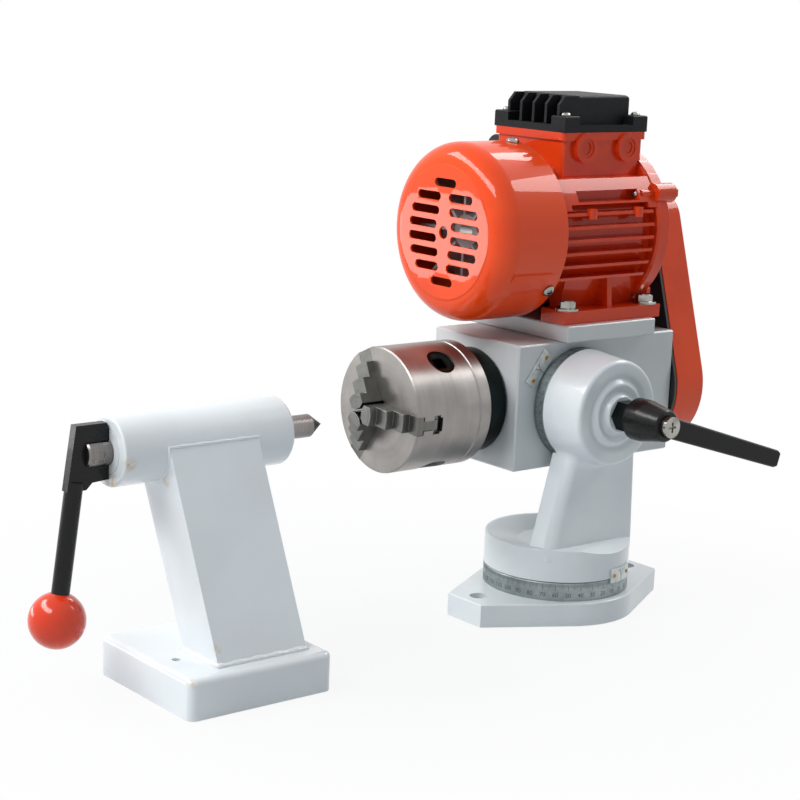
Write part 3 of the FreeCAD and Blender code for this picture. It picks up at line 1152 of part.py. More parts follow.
def make_belt_drive():
    plate = belt_form("guard_low - 0.5", "guard_top - 0.5", "block_rear", "guard_plate")
    spindle_way = rod("18", "guard_plate + 2", spindle_at("block_rear - 1"))
    motor_way = rod("12", "guard_plate + 2", motor_at("block_rear - 1"))
    tapped = [rod("2", "guard_plate + 2", (x, y, z)) for x, y, z in guard_screw_places("block_rear - 1")]
    node("guard_backplate", cut(plate, spindle_way, motor_way, *tapped))
    cover = belt_form("guard_low", "guard_top", "guard_start", "guard_wide")
    hollow = belt_form("guard_low - guard_wall", "guard_top - guard_wall",
                       "guard_start - over", "guard_wide + over - guard_wall")
    ways = [rod("2.1", "guard_wide + 2", (x, y, z)) for x, y, z in guard_screw_places("guard_start - 1")]
    rounded = doc.addObject("Part::Fillet", "Guard_round")
    doc.recompute()
    rounded.Base = cover
    far_end = lies_at("X", size("guard_end"))
    rounded.Edges = [(i, 1.5, 1.5) for i, edge in enumerate(cover.Shape.Edges, start=1) if far_end(edge)]
    node("guard_cover", cut(rounded, hollow, *ways))
    node("guard_screws", group(*[
        fuse(rod("3.5", "guard_wide - guard_wall", (x, y, z)),
             rod("1.9", "guard_wide + guard_plate", (f"{x} - guard_plate", y, z)),
             rod("3.6", "2", (f"{x} + guard_wide", y, z))) for x, y, z in guard_screw_places("guard_start")]))
    pulleys = (("spindle_pulley", "big_pulley", "pulley_seat / 2", spindle_at),
               ("motor_pulley", "small_pulley", "shaft_dia / 2", motor_at))
    low, high = "belt_mid - pulley_wide / 2", "belt_mid + pulley_wide / 2"
    for name, outside, bore, at in pulleys:
        rim, track = f"{outside} / 2", f"{outside} / 2 - belt_groove - 0.1"
        node(name, turned([(low, bore), (high, bore), (high, rim), (f"{high} - pulley_rim", rim),
                           (f"{high} - pulley_rim", track), (f"{low} + pulley_rim", track),
                           (f"{low} + pulley_rim", rim), (low, rim)], at("0")))
    outer = belt_form("big_pulley / 2 - belt_groove + belt_thick",
                      "small_pulley / 2 - belt_groove + belt_thick",
                      "belt_mid - belt_wide / 2", "belt_wide")
    inner = belt_form("big_pulley / 2 - belt_groove", "small_pulley / 2 - belt_groove",
                      "belt_mid - belt_wide / 2 - over", "belt_wide + 2 * over")
    node("drive_belt", cut(outer, inner))


def guard_screw_places(along):
    return [(along, "axis_side + 12", "axis_high + 52"), (along, "axis_side - 6", "axis_high + 50")]


# Clamp lever

def make_clamp():
    at = ("0", "0", "axis_high")
    hexagon = prism(6, "insert_across / 2 / cos(30)", "insert_hex_long", ("0", "hub_back", "axis_high"), "Y")
    spline = rod("spline_dia / 2", "11", ("0", "hub_back - 11", "axis_high"), "Y")
    stud_room = rod("stud_dia / 2", "9", ("0", "insert_back - 8", "axis_high"), "Y")
    screw_tap = rod("3", "14", ("0", "hub_back - 12", "axis_high"), "Y")
    node("clamp_insert", cut(fuse(hexagon, spline), stud_room, screw_tap))
    head_back = "hub_front + 0.3"
    screw = fuse(rod("3", f"hub_back - 1.5 - ({head_back})", ("0", head_back, "axis_high"), "Y"),
                 rod("screw_head / 2", "4.6", ("0", f"{head_back} - 4.6", "axis_high"), "Y"))
    cross = [block(dims, (f"-({dims[0]}) / 2", f"{head_back} - 5.6", f"axis_high - ({dims[2]}) / 2"))
             for dims in (("6.5", "2.8", "1.4"), ("1.4", "2.8", "6.5"))]
    node("clamp_screw", cut(screw, *cross))
    hub = turned([("hub_back - 9", "hub_big_dia / 2"), ("hub_back - 1.2", "hub_big_dia / 2"),
                  ("hub_back", "hub_big_dia / 2 - 1.2"), ("hub_back", "spline_dia / 2 + run_gap"),
                  ("hub_back - 11.3", "spline_dia / 2 + run_gap"), ("hub_back - 11.3", "3.4"),
                  ("hub_back - 13.3", "3.4"), ("hub_back - 13.3", "screw_head / 2 + 0.3"),
                  ("hub_front", "screw_head / 2 + 0.3"), ("hub_front", "hub_small_dia / 2"),
                  ("hub_front + 1", "hub_small_dia / 2 + 1")], at, "Y")
    arm = padded([("6", "-lever_high / 2"), ("lever_reach - 2", "-lever_high / 2 + 1.2"),
                  ("lever_reach", "-lever_high / 2 + 3"), ("lever_reach", "lever_high / 2 - 3"),
                  ("lever_reach - 2", "lever_high / 2 - 1.2"), ("6", "lever_high / 2")],
                 "lever_thick", ("0", "0", "0"), "XZ_Plane")
    soften(arm, "2", lambda e: e.BoundBox.XLength > 60)
    turn = Rotation(ACROSS, size("lever_droop")).multiply(Rotation(UP, -size("lever_lean")))
    place(arm, ("0", "hub_back - 9 + 1", "axis_high"), turn)
    socket = rod("screw_head / 2 + 0.3", "hub_long + 0.7", ("0", "hub_front - 14", "axis_high"), "Y")
    spline_room = rod("spline_dia / 2 + run_gap", "13", ("0", "hub_back - 11.3", "axis_high"), "Y")
    way = rod("3.4", "30", ("0", "hub_front", "axis_high"), "Y")
    node("clamp_lever", cut(fuse(hub, arm), socket, spline_room, way))
    room = f"hub_back - 13.5 - ({head_back})"
    node("clamp_spring", coil_spring("4.9", "0.9", 3, room, ("0", head_back, "axis_high"), "Y"))


def coil_spring(radius, wire, turns, length, at, axis):
    """A compression spring as closed rings joined in a stack, from its low end."""
    rings = []
    for i in range(turns):
        ring = doc.addObject("Part::Torus", "Coil")
        bind(ring, "Radius1", radius)
        bind(ring, "Radius2", wire)
        shift = f"({wire}) + {i} * (({length}) - 2 * ({wire})) / {turns - 1}"
        spot = [f"{formula} + {shift}" if name == axis else formula for name, formula in zip("XYZ", at)]
        rings.append(place(ring, spot, AXIS_TURN[axis]))
    return group(*rings)


# Tailstock

def tube_at(along):
    return (along, "tail_axis_y", "axis_high")


def make_tailstock():
    half = "tail_base_long / 2"
    square = rectangle(f"-{half}", f"-{half}", half, half)
    base = padded(square, "tail_base_high", ("tail_x", "tail_base_y", "0"))
    soften(base, "5", runs_along(UP))
    soften(base, "4", lies_at("Z", size("tail_base_high")))
    tap = rod("tail_hole_dia / 2", "tail_hole_deep + over",
              ("tail_x - tail_hole_x", "tail_base_y - tail_hole_y", "tail_base_high - tail_hole_deep"), "Z")
    node("tail_base", cut(base, tap))
    foot, top = "tail_x + post_foot", "tail_x"
    front = padded([(f"{foot} - post_long / 2", "tail_base_high"),
                    (f"{foot} + post_long / 2", "tail_base_high"),
                    (f"{top} + post_long / 2", "axis_high + post_rise"),
                    (f"{top} - post_long / 2", "axis_high + post_rise")],
                   "2 * post_room", ("0", "post_room", "0"), "XZ_Plane")
    side = padded([("tail_base_y - post_foot_y", "tail_base_high"),
                   ("tail_base_y - post_foot_y + post_thick", "tail_base_high"),
                   ("tail_axis_y + post_back_y", "axis_high - post_back_z"), ("tail_axis_y", "axis_high"),
                   ("tail_axis_y - post_top_y", "axis_high + post_rise")],
                  "tube_long", ("tube_end", "0", "0"), "YZ_Plane")
    tube_room = rod("tube_dia / 2", "tube_long + 2 * over", tube_at("tube_end - over"))
    node("tail_post", cut(common(front, side), tube_room))
    shell = turned([("tube_end", "spring_room_dia / 2"), ("tube_end", "tube_dia / 2 - 1"),
                    ("tube_end + 1", "tube_dia / 2"),
                    ("tube_nose - 2", "tube_dia / 2"), ("tube_nose", "tube_dia / 2 - 2"),
                    ("tube_nose", "quill_dia / 2 + run_gap"),
                    ("tube_nose - nose_wall", "quill_dia / 2 + run_gap"),
                    ("tube_nose - nose_wall", "spring_room_dia / 2")], tube_at("0"))
    node("tail_tube", shell)
    bush_end = "tube_nose - nose_wall - spring_room_long"
    bore = "quill_dia / 2 + run_gap"
    node("tail_bush", turned([("tube_end", bore), (bush_end, bore), (bush_end, "spring_room_dia / 2"),
                              ("tube_end", "spring_room_dia / 2")], tube_at("0")))
    collar = "tube_nose - nose_wall - face_gap"
    body = turned([("tail_pin_x - 7", "0"), ("tail_pin_x - 7", "quill_dia / 2 - 1"),
                   ("tail_pin_x - 6", "quill_dia / 2"),
                   (f"{collar} - 5", "quill_dia / 2"), (f"{collar} - 5", "spring_room_dia / 2 - 0.5"),
                   (collar, "spring_room_dia / 2 - 0.5"), (collar, "quill_dia / 2"),
                   ("tube_nose - 1", "quill_dia / 2"), ("tube_nose - 1", "center_dia / 2 - 2"),
                   ("tube_nose - 16", "center_dia / 2 - 2"), ("tube_nose - 16", "0")], tube_at("0"))
    slot = block(("8 + slot_long", "quill_dia + 2", "plate_lever_thick + 0.4"),
                 ("tail_pin_x - 8", "tail_axis_y", "axis_high"))
    slot.Placement.Rotation = Rotation(ALONG, 90)
    bind(slot, "Placement.Base.y", "tail_axis_y + plate_lever_thick / 2 + 0.2")
    bind(slot, "Placement.Base.z", "axis_high - quill_dia / 2 - 1")
    pin_way = rod("lever_pin_dia / 2", "quill_dia + 2 * over",
                  ("tail_pin_x", "tail_axis_y - quill_dia / 2 - over", "axis_high"), "Y")
    flats = [block(("pin_out + 7", "quill_dia + 2 * over", "4"),
                   ("tail_pin_x - 8", "tail_axis_y - quill_dia / 2 - over", z))
             for z in ("axis_high + 6.5", "axis_high - 10.5")]
    node("quill", cut(body, slot, pin_way, *flats))
    node("tail_center", turned([("tube_nose - 16", "0"), ("tube_nose - 16", "center_dia / 2 - 2"),
                                ("tube_nose - 1", "center_dia / 2 - 2"), ("tube_nose - 1", "center_dia / 2"),
                                ("tube_nose + center_out", "center_dia / 2"),
                                ("tube_nose + center_out + center_cone", "0")], tube_at("0")))
    node("quill_spring", coil_spring("spring_room_dia / 2 - spring_room_gap - spring_wire", "spring_wire", 9,
                                     f"{collar} - 5 - ({bush_end})", tube_at(bush_end), "X"))
    make_tail_lever()


def make_tail_lever():
    """Lever head whose edge is an involute, so the quill moves evenly with the lever's turn."""
    reach, lead = size("pin_out") - 0.2, size("cam_lead")
    turn = math.radians(size("cam_turn"))

    def cam(angle):
        push = reach + lead * angle
        return Vector(push * math.cos(angle) - lead * math.sin(angle), 0,
                      push * math.sin(angle) + lead * math.cos(angle))

    top = cam(turn)
    corners = [Vector(reach, 0, -15.5), Vector(-2.5, 0, -16.2), Vector(-6.4, 0, -20), Vector(-18.4, 0, -20),
               Vector(-17, 0, -10), Vector(-13, 0, top.z)]
    edges = [Part.Arc(cam(0), cam(turn / 2), top).toShape(), Part.makeLine(top, corners[-1])]
    edges += [Part.makeLine(corners[i + 1], corners[i]) for i in range(len(corners) - 2, -1, -1)]
    edges.append(Part.makeLine(corners[0], cam(0)))
    face = Part.Face(Part.Wire(edges))
    head = doc.addObject("Part::Feature", "Lever_head")
    thick = size("plate_lever_thick")
    head.Shape = face.extrude(Vector(0, thick, 0))
    pin = Vector(size("tail_pin_x"), size("tail_axis_y"), size("axis_high"))
    head.Placement = Placement(pin - Vector(0, thick / 2, 0), Rotation())
    lean = Rotation(ACROSS, 180 + size("rod_lean"))
    root = ("tail_pin_x - rod_root_x", "tail_axis_y", "axis_high - rod_root_z")
    bar = rod("rod_dia / 2", "rod_long", root, "Z", lean)
    pin_way = rod("lever_pin_dia / 2 + run_gap", "quill_dia",
                  ("tail_pin_x", "tail_axis_y - quill_dia / 2", "axis_high"), "Y")
    node("tail_lever", cut(fuse(head, bar), pin_way))
    node("lever_pin", rod("lever_pin_dia / 2", "quill_dia - 2 * face_gap",
                          ("tail_pin_x", "tail_axis_y - quill_dia / 2 + face_gap", "axis_high"), "Y"))
    knob = doc.addObject("Part::Sphere", "Knob")
    bind(knob, "Radius", "ball_dia / 2")
    place(knob, (f"{root[0]} - ball_reach * sin(rod_lean * 1 deg)", root[1],
                 f"{root[2]} - ball_reach * cos(rod_lean * 1 deg)"))
    bore = rod("rod_dia / 2", "rod_long", root, "Z", lean)
    node("ball_knob", cut(knob, bore))


make_base()
make_column()
make_index_plates()
make_housing()
make_spindle()
make_chuck()
make_motor_plate()
make_motor_frame()
make_shields()
make_cowl()
make_rotor()
make_terminal_box()
make_lid()
make_belt_drive()
make_clamp()
make_tailstock()
doc.recompute()

for thing in doc.Objects:
    if "Invalid" in thing.State or "Error" in thing.State:
        raise RuntimeError(f"{thing.Name} ({thing.Label}) failed: {thing.State}")
for name, thing in NODES.items():
    shape = thing.Shape
    if shape.isNull() or not shape.isValid():
        raise RuntimeError(f"{name} has no valid shape")
    shape.exportStep(f"parts/{name}.step")
    print(f"{name}: {len(shape.Solids)} solids, {shape.Volume:.0f} mm3")
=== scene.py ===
# %% [markdown]
# A motorized punch former: a chuck on a belt-driven spindle that swivels and
# tilts on a flanged base, and a small tailstock beside it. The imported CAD
# model is loaded first and stays where it is. Everything below either gives a
# CAD node a finish or adds a piece that rides on one of its bodies.

import bpy
import bmesh
import math
from mathutils import Matrix, Vector


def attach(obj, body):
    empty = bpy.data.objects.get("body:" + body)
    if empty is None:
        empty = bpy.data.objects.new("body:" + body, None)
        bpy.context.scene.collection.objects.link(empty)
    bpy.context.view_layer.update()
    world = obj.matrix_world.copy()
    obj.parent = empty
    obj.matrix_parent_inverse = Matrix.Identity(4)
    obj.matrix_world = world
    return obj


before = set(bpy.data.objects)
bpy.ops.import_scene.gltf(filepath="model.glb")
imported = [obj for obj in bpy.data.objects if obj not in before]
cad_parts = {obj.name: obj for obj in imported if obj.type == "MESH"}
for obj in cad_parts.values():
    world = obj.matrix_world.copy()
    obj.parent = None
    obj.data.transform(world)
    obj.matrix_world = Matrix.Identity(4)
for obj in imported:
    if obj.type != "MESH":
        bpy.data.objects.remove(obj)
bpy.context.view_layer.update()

# %% [markdown]
# Colours are written as the hex values a paint chart would give. Blender
# works in linear light, so one function turns a hex value into four linear
# numbers. Positions and pattern sizes are thought out in millimetres.

# %% Colours and lengths
MM = 0.001


def paint(hex_value):
    """sRGB hex to linear RGBA, opaque."""
    channels = [int(hex_value[i:i + 2], 16) / 255 for i in (1, 3, 5)]
    linear = [c / 12.92 if c <= 0.04045 else ((c + 0.055) / 1.055) ** 2.4 for c in channels]
    return (*linear, 1.0)


# %% [markdown]
# A finish is a small node tree. One helper adds a node with its settings and
# links, and another starts a finish with its Principled shader. Patterns
# read Object coordinates, which are metres here, so a pattern's scale is one
# over its real size, and that size is written in millimetres.

# %% Helpers for finishes
def add(tree, kind, settings=None, links=None):
    """Adds one node, sets its properties and sockets, and links its inputs."""
    made = tree.nodes.new(kind)
    for key, value in (settings or {}).items():
        if isinstance(key, str) and hasattr(made, key):
            setattr(made, key, value)
        else:
            made.inputs[key].default_value = value
    for key, source in (links or {}).items():
        tree.links.new(source, made.inputs[key])
    return made


def finish_named(name, base, rough, metal=0.0, coat=0.0, coat_rough=0.05, specular=0.5):
    """A new material with a Principled shader; returns it, its tree and the shader."""
    material = bpy.data.materials.new(name)
    material.use_nodes = True
    tree = material.node_tree
    tree.nodes.clear()
    shader = add(tree, "ShaderNodeBsdfPrincipled", {
        "Base Color": paint(base), "Roughness": rough, "Metallic": metal,
        "Coat Weight": coat, "Coat Roughness": coat_rough, "Specular IOR Level": specular})
    add(tree, "ShaderNodeOutputMaterial", links={"Surface": shader.outputs[0]})
    material.diffuse_color = paint(base)
    return material, tree, shader


def place_of(tree, scale=(1, 1, 1), centre=(0, 0, 0)):
    """Object coordinates moved to a centre and scaled."""
    coords = add(tree, "ShaderNodeTexCoord")
    shift = add(tree, "ShaderNodeVectorMath", {"operation": "SUBTRACT", 1: centre},
                {0: coords.outputs["Object"]})
    return add(tree, "ShaderNodeVectorMath", {"operation": "MULTIPLY", 1: scale},
               {0: shift.outputs[0]}).outputs[0]


def noise(tree, vector, size_mm, detail=2.0, rough=0.5):
    """A cloudy pattern whose spots are about size_mm across."""
    return add(tree, "ShaderNodeTexNoise", {
        "Scale": 1 / (size_mm * MM), "Detail": detail, "Roughness": rough},
        {"Vector": vector}).outputs["Fac"]


def span(tree, value, low, high, to_low, to_high):
    """Maps a value's range low..high to to_low..to_high, clamped."""
    return add(tree, "ShaderNodeMapRange", {
        "From Min": low, "From Max": high, "To Min": to_low, "To Max": to_high},
        {"Value": value}).outputs[0]


def blend_colours(tree, factor, first, second):
    mixer = add(tree, "ShaderNodeMix", {"data_type": "RGBA"})
    mixer.inputs[6].default_value = paint(first)
    mixer.inputs[7].default_value = paint(second)
    tree.links.new(factor, mixer.inputs[0])
    return mixer.outputs[2]


def two_tones(tree, shader, mask, low, high, light, dark):
    """The base colour goes from light to dark as the mask goes from low to high."""
    colour = blend_colours(tree, span(tree, mask, low, high, 0, 1), light, dark)
    tree.links.new(colour, shader.inputs["Base Color"])


def uneven_gloss(tree, shader, mask, low, high, least, most):
    """The roughness goes from least to most as the mask goes from low to high."""
    tree.links.new(span(tree, mask, low, high, least, most), shader.inputs["Roughness"])


def layered(tree, coarse, fine, share):
    """A coarse pattern with a share of a finer one added to it."""
    return add(tree, "ShaderNodeMath", {"operation": "MULTIPLY_ADD", 1: share},
               {0: fine, 2: coarse}).outputs[0]


def larger(tree, first, second):
    return add(tree, "ShaderNodeMath", {"operation": "MAXIMUM"}, {0: first, 1: second}).outputs[0]


def bump(tree, height, depth_mm, shader):
    node = add(tree, "ShaderNodeBump", {"Strength": 1.0, "Distance": depth_mm * MM}, {"Height": height})
    tree.links.new(node.outputs[0], shader.inputs["Normal"])


# %% [markdown]
# The castings carry white machine enamel: sprayed thick, glossy, with a fine
# orange peel and the slow waves of a sand casting under it. The eye sees soft
# wide highlights that wobble a little, and a cool white.

# %% White enamel
def white_enamel(name, light, dark, rough, wave_mm, coat=0.35):
    material, tree, shader = finish_named(name, light, rough, coat=coat, coat_rough=0.12)
    where = place_of(tree)
    two_tones(tree, shader, noise(tree, where, 45, 3), 0.35, 0.7, light, dark)
    sand_waves = noise(tree, where, 9)
    orange_peel = noise(tree, where, 1.6)
    bump(tree, layered(tree, sand_waves, orange_peel, 0.12), wave_mm, shader)
    uneven_gloss(tree, shader, noise(tree, where, 3, 3), 0.3, 0.7, rough - 0.05, rough + 0.07)
    return material


casting_enamel = white_enamel("white_machine_enamel", "#e4eaec", "#dbe2e6", 0.34, 0.25)
satin_grey = white_enamel("satin_grey_enamel", "#c9cdce", "#c2c7c9", 0.36, 0.1, coat=0.3)

# %% [markdown]
# The tailstock was welded and then painted by brush. Its enamel lies in long
# low waves, and rust has bled yellow at the ends of the welds and at one
# chipped corner. Each stain is a soft spot round one point, broken up by a
# fine noise.

# %% Brush-painted enamel with stains
# Each stain has its middle and its radius, both in millimetres.
STAINS_MM = [((-325, -57.5, 24), 7), ((-299, -46, 34), 6), ((-334, 12, 119), 9),
             ((-331, -1.5, 134), 5), ((-303, 2, 120), 5)]


def stained_enamel(name, light, dark, stain):
    material, tree, shader = finish_named(name, light, 0.24, coat=0.6, coat_rough=0.08)
    where = place_of(tree)
    clean = blend_colours(tree, span(tree, noise(tree, where, 60), 0.4, 0.65, 0, 1), light, dark)
    nears = []
    for centre, radius in STAINS_MM:
        away = add(tree, "ShaderNodeVectorMath", {"operation": "DISTANCE", 1: [c * MM for c in centre]},
                   {0: where})
        nears.append(span(tree, away.outputs["Value"], 0, radius * MM, 0.9, 0))
    spots = nears[0]
    for near in nears[1:]:
        spots = larger(tree, spots, near)
    ragged = span(tree, noise(tree, where, 2.5, 4), 0.4, 0.6, 0.1, 1)
    broken = add(tree, "ShaderNodeMath", {"operation": "MULTIPLY"}, {0: spots, 1: ragged})
    mixer = add(tree, "ShaderNodeMix", {"data_type": "RGBA"}, {0: broken.outputs[0], 6: clean})
    mixer.inputs[7].default_value = paint(stain)
    tree.links.new(mixer.outputs[2], shader.inputs["Base Color"])
    brush_waves = noise(tree, place_of(tree, scale=(1, 1, 0.35)), 11)
    bump(tree, brush_waves, 0.16, shader)
    return material


brushed_enamel = stained_enamel("hand_painted_white_enamel", "#e9eff2", "#e2e7ea", "#c9a24c")


# %% [markdown]
# The motor, its guard and the knob are orange-red. The sheet cowl and guard
# are smooth and mirror-glossy; the aluminium frame is cast, so the same
# enamel lies over a pebbled skin.

# %% Orange-red enamel
ORANGE_ROUGH = 0.3


def orange_enamel(name, light, dark, pebble_mm, depth_mm):
    material, tree, shader = finish_named(
        name, light, ORANGE_ROUGH, coat=0.45, coat_rough=0.03, specular=0.08)
    where = place_of(tree)
    two_tones(tree, shader, noise(tree, where, 30, 3), 0.35, 0.7, light, dark)
    bump(tree, noise(tree, where, pebble_mm, 3), depth_mm, shader)
    return material


sheet_orange = orange_enamel("gloss_orange_enamel", "#f04a12", "#e84410", 18, 0.2)
cast_orange = orange_enamel("orange_enamel_on_casting", "#de4013", "#d03a11", 2.2, 0.1)

# %% [markdown]
# The cowl is pressed from sheet. The die left a fine step where its flat end
# meets the round edge, and the step draws a thin bright line. It is a ring of
# bump at that radius round the motor's axis, half a millimetre high. The X
# part of its place is dropped, so the ring is the same through the sheet.

# %% Pressed cowl
MOTOR_Y = 37.5 * MM
MOTOR_Z = 247 * MM
COWL_STEP = 43 * MM
STEP_HALF = 0.8 * MM


def pressed_orange(name, light, dark):
    material, tree, shader = finish_named(
        name, light, ORANGE_ROUGH, coat=0.55, coat_rough=0.02, specular=0.05)
    where = place_of(tree, scale=(0, 1, 1), centre=(0, MOTOR_Y, MOTOR_Z))
    two_tones(tree, shader, noise(tree, where, 30, 3), 0.35, 0.7, light, dark)
    radius = add(tree, "ShaderNodeVectorMath", {"operation": "LENGTH"}, {0: where}).outputs["Value"]
    step = add(tree, "ShaderNodeMapRange", {
        "interpolation_type": "SMOOTHSTEP", "From Min": COWL_STEP - STEP_HALF,
        "From Max": COWL_STEP + STEP_HALF, "To Min": 1.0, "To Max": 0.0}, {"Value": radius}).outputs[0]
    sheet_waves = noise(tree, place_of(tree), 22)
    bump(tree, layered(tree, step, sheet_waves, 0.12), 0.5, shader)
    return material


cowl_orange = pressed_orange("pressed_orange_sheet", "#f24c12", "#ea4610")


# %% [markdown]
# The chuck is turned and ground steel. The tool leaves grooves a few tenths
# of a millimetre apart, round the axis, which stretch every reflection along
# the body. The grooves are drawn 0.3 mm apart, coarser than the real ones, so
# that they show.

# %% Turned steel
SPINDLE_Y = 32.5 * MM
QUILL_Y = 18 * MM
AXIS_Z = 138 * MM
GROOVE_MM = 0.3
GROOVE_DEPTH_MM = 0.004


def turned_steel(name, light, dark, rough, side=SPINDLE_Y):
    """Steel turned round an axis that runs along X at the centre height and at Y = side."""
    material, tree, shader = finish_named(name, light, rough, metal=1.0)
    where = place_of(tree, centre=(0, side, AXIS_Z))
    parts = add(tree, "ShaderNodeSeparateXYZ", links={0: where})
    flat = add(tree, "ShaderNodeCombineXYZ", links={1: parts.outputs[1], 2: parts.outputs[2]})
    radius = add(tree, "ShaderNodeVectorMath", {"operation": "LENGTH"}, {0: flat.outputs[0]})
    lathe = add(tree, "ShaderNodeCombineXYZ", links={
        0: parts.outputs[0], 1: radius.outputs["Value"]}).outputs[0]
    grooves = noise(tree, lathe, GROOVE_MM)
    bump(tree, grooves, GROOVE_DEPTH_MM, shader)
    patches = layered(tree, noise(tree, where, 26, 3), noise(tree, lathe, 4, 3), 0.5)
    two_tones(tree, shader, patches, 0.5, 1.0, light, dark)
    uneven_gloss(tree, shader, grooves, 0.3, 0.7, rough - 0.06, rough + 0.08)
    return material


# The chuck's and the jaws' base colours are kept dark as painted reflection: they stand for dark
# surroundings mirrored in the steel, where the world mirrors only white.
ground_steel_dark_reflection = turned_steel("turned_steel_painted_dark_reflection", "#a09c99", "#86827f", 0.36)
jaw_steel_dark_reflection = turned_steel("jaw_steel_painted_dark_reflection", "#7f807c", "#646561", 0.3)
shaft_steel = turned_steel("bright_shaft_steel", "#8c8886", "#6d6a69", 0.28, side=QUILL_Y)
dark_steel = turned_steel("black_oxide_steel", "#1b2322", "#131919", 0.32)

# %% [markdown]
# The two graduated rings are turned steel that has gone dull and patchy in
# handling. Dark oil stains lie over the grey, and the oil dulls the shine.

# %% Stained ring steel
def worn_ring_steel(name, light, dark):
    material, tree, shader = finish_named(name, light, 0.42, metal=1.0)
    where = place_of(tree)
    streaks = noise(tree, place_of(tree, scale=(1, 1, 3)), 5, 3)
    stains = layered(tree, noise(tree, where, 16, 4, 0.6), streaks, 0.4)
    two_tones(tree, shader, stains, 0.45, 0.95, light, dark)
    uneven_gloss(tree, shader, stains, 0.6, 1.0, 0.38, 0.55)
    bump(tree, noise(tree, where, 0.9), 0.015, shader)
    return material


ring_steel = worn_ring_steel("worn_scale_ring_steel", "#9aa3a6", "#7e8788")


# %% [markdown]
# The remaining finishes differ only in colour, shine and grain. Moulded
# polyamide is dull and finely pitted, lever enamel deep and glossy, and the
# knob almost a mirror. Zinc plating is bright and a little cloudy, rolled
# aluminium satin, and brass warm. Rubber and laminated iron take no shine, and
# the fan is a pale plastic that shows through the vents.

# %% Plastics, plating and rubber
def plain_finish(name, light, dark, rough, grain_mm, depth_mm, metal=0.0, coat=0.0, specular=0.5):
    """Two tones in patches six grains wide, and a bump and a shine with the grain."""
    material, tree, shader = finish_named(name, light, rough, metal, coat, specular=specular)
    where = place_of(tree)
    two_tones(tree, shader, noise(tree, where, grain_mm * 6, 3), 0.35, 0.7, light, dark)
    grain = noise(tree, where, grain_mm, 3)
    bump(tree, grain, depth_mm, shader)
    uneven_gloss(tree, shader, grain, 0.3, 0.7, rough - 0.04, rough + 0.06)
    return material


lid_plastic = plain_finish("moulded_black_polyamide", "#191a1d", "#131416", 0.46, 0.8, 0.02, specular=0.15)
lever_enamel = plain_finish(
    "black_lever_enamel", "#0e0f10", "#0a0a0b", 0.3, 1.4, 0.03, coat=0.15, specular=0.2)
zinc = plain_finish("bright_zinc_plating", "#aaa9a4", "#8a8984", 0.16, 1.2, 0.01, metal=1.0)
plate_aluminium = plain_finish("satin_aluminium_plate", "#c3c9c9", "#aab1b1", 0.38, 0.6, 0.008, metal=0.85)
brass = plain_finish("brass_rivet", "#b08a3c", "#7d5c22", 0.35, 0.8, 0.02, metal=1.0)
belt_rubber = plain_finish("belt_rubber", "#1d1d1e", "#151515", 0.7, 0.5, 0.03)
fan_plastic = plain_finish("pale_fan_plastic", "#b9aeb0", "#a49a9c", 0.45, 2.0, 0.02)
inner_alloy = plain_finish("cast_alloy_inside", "#6f6f70", "#5b5b5c", 0.5, 1.5, 0.05, metal=0.9)
laminated_iron = plain_finish("laminated_iron", "#4c4a48", "#3a3836", 0.6, 0.5, 0.04, metal=0.9)
knob_plastic = plain_finish("gloss_orange_knob", "#e23a12", "#d8340f", 0.2, 6, 0.03, coat=0.6, specular=0.15)
guard_black = plain_finish("black_sheet_enamel", "#141416", "#0e0e10", 0.4, 2.0, 0.03, coat=0.2)
engraving_ink = plain_finish("black_filled_engraving", "#3a3f40", "#4a5051", 0.6, 1.0, 0.02)
pointer_ink = plain_finish("grey_filled_pointer", "#4a4f50", "#2f3333", 0.5, 0.8, 0.02)

# %% [markdown]
# Every CAD node gets its finish. Real edges are never knife-sharp, so visible
# nodes also get a Weld and a Bevel modifier: the bevel catches a thin line of
# light along each edge, as machining and paint leave it. Weighted normals then
# keep the broad faces flat beside it.

# %% Finish the CAD nodes
FINISHES = {
    casting_enamel: "base_plate column_casting",
    brushed_enamel: "tail_base tail_post tail_tube tail_bush",
    satin_grey: "spindle_housing motor_plate",
    cast_orange: "motor_frame drive_shield shield_bolts terminal_box entry_plugs",
    sheet_orange: "guard_cover",
    cowl_orange: "fan_cowl",
    ground_steel_dark_reflection: "chuck_body chuck_cover chuck_adapter spindle_shaft scroll_plate spindle_bearings",
    jaw_steel_dark_reflection: "jaw_1 jaw_2 jaw_3",
    ring_steel: "base_scale_ring tilt_scale_ring",
    dark_steel: "nose_flange clamp_insert swivel_bolt tilt_stud motor_plate_screws "
                "chuck_pinion_1 chuck_pinion_2 chuck_pinion_3",
    plate_aluminium: "swivel_index_plate tilt_index_plate",
    lid_plastic: "terminal_lid cable_gland",
    lever_enamel: "clamp_lever tail_lever",
    guard_black: "guard_backplate",
    zinc: "motor_foot_bolts cover_screws clamp_screw guard_screws clamp_spring quill_spring",
    shaft_steel: "quill tail_center lever_pin motor_shaft motor_bearings",
    belt_rubber: "drive_belt",
    fan_plastic: "cooling_fan",
    inner_alloy: "spindle_pulley motor_pulley fan_shield",
    laminated_iron: "stator rotor_core",
    knob_plastic: "ball_knob",
}
for material, names in FINISHES.items():
    for name in names.split():
        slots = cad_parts[name].data.materials
        slots.clear()
        slots.append(material)
print("nodes with no finish:", set(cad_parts) - set(" ".join(FINISHES.values()).split()))

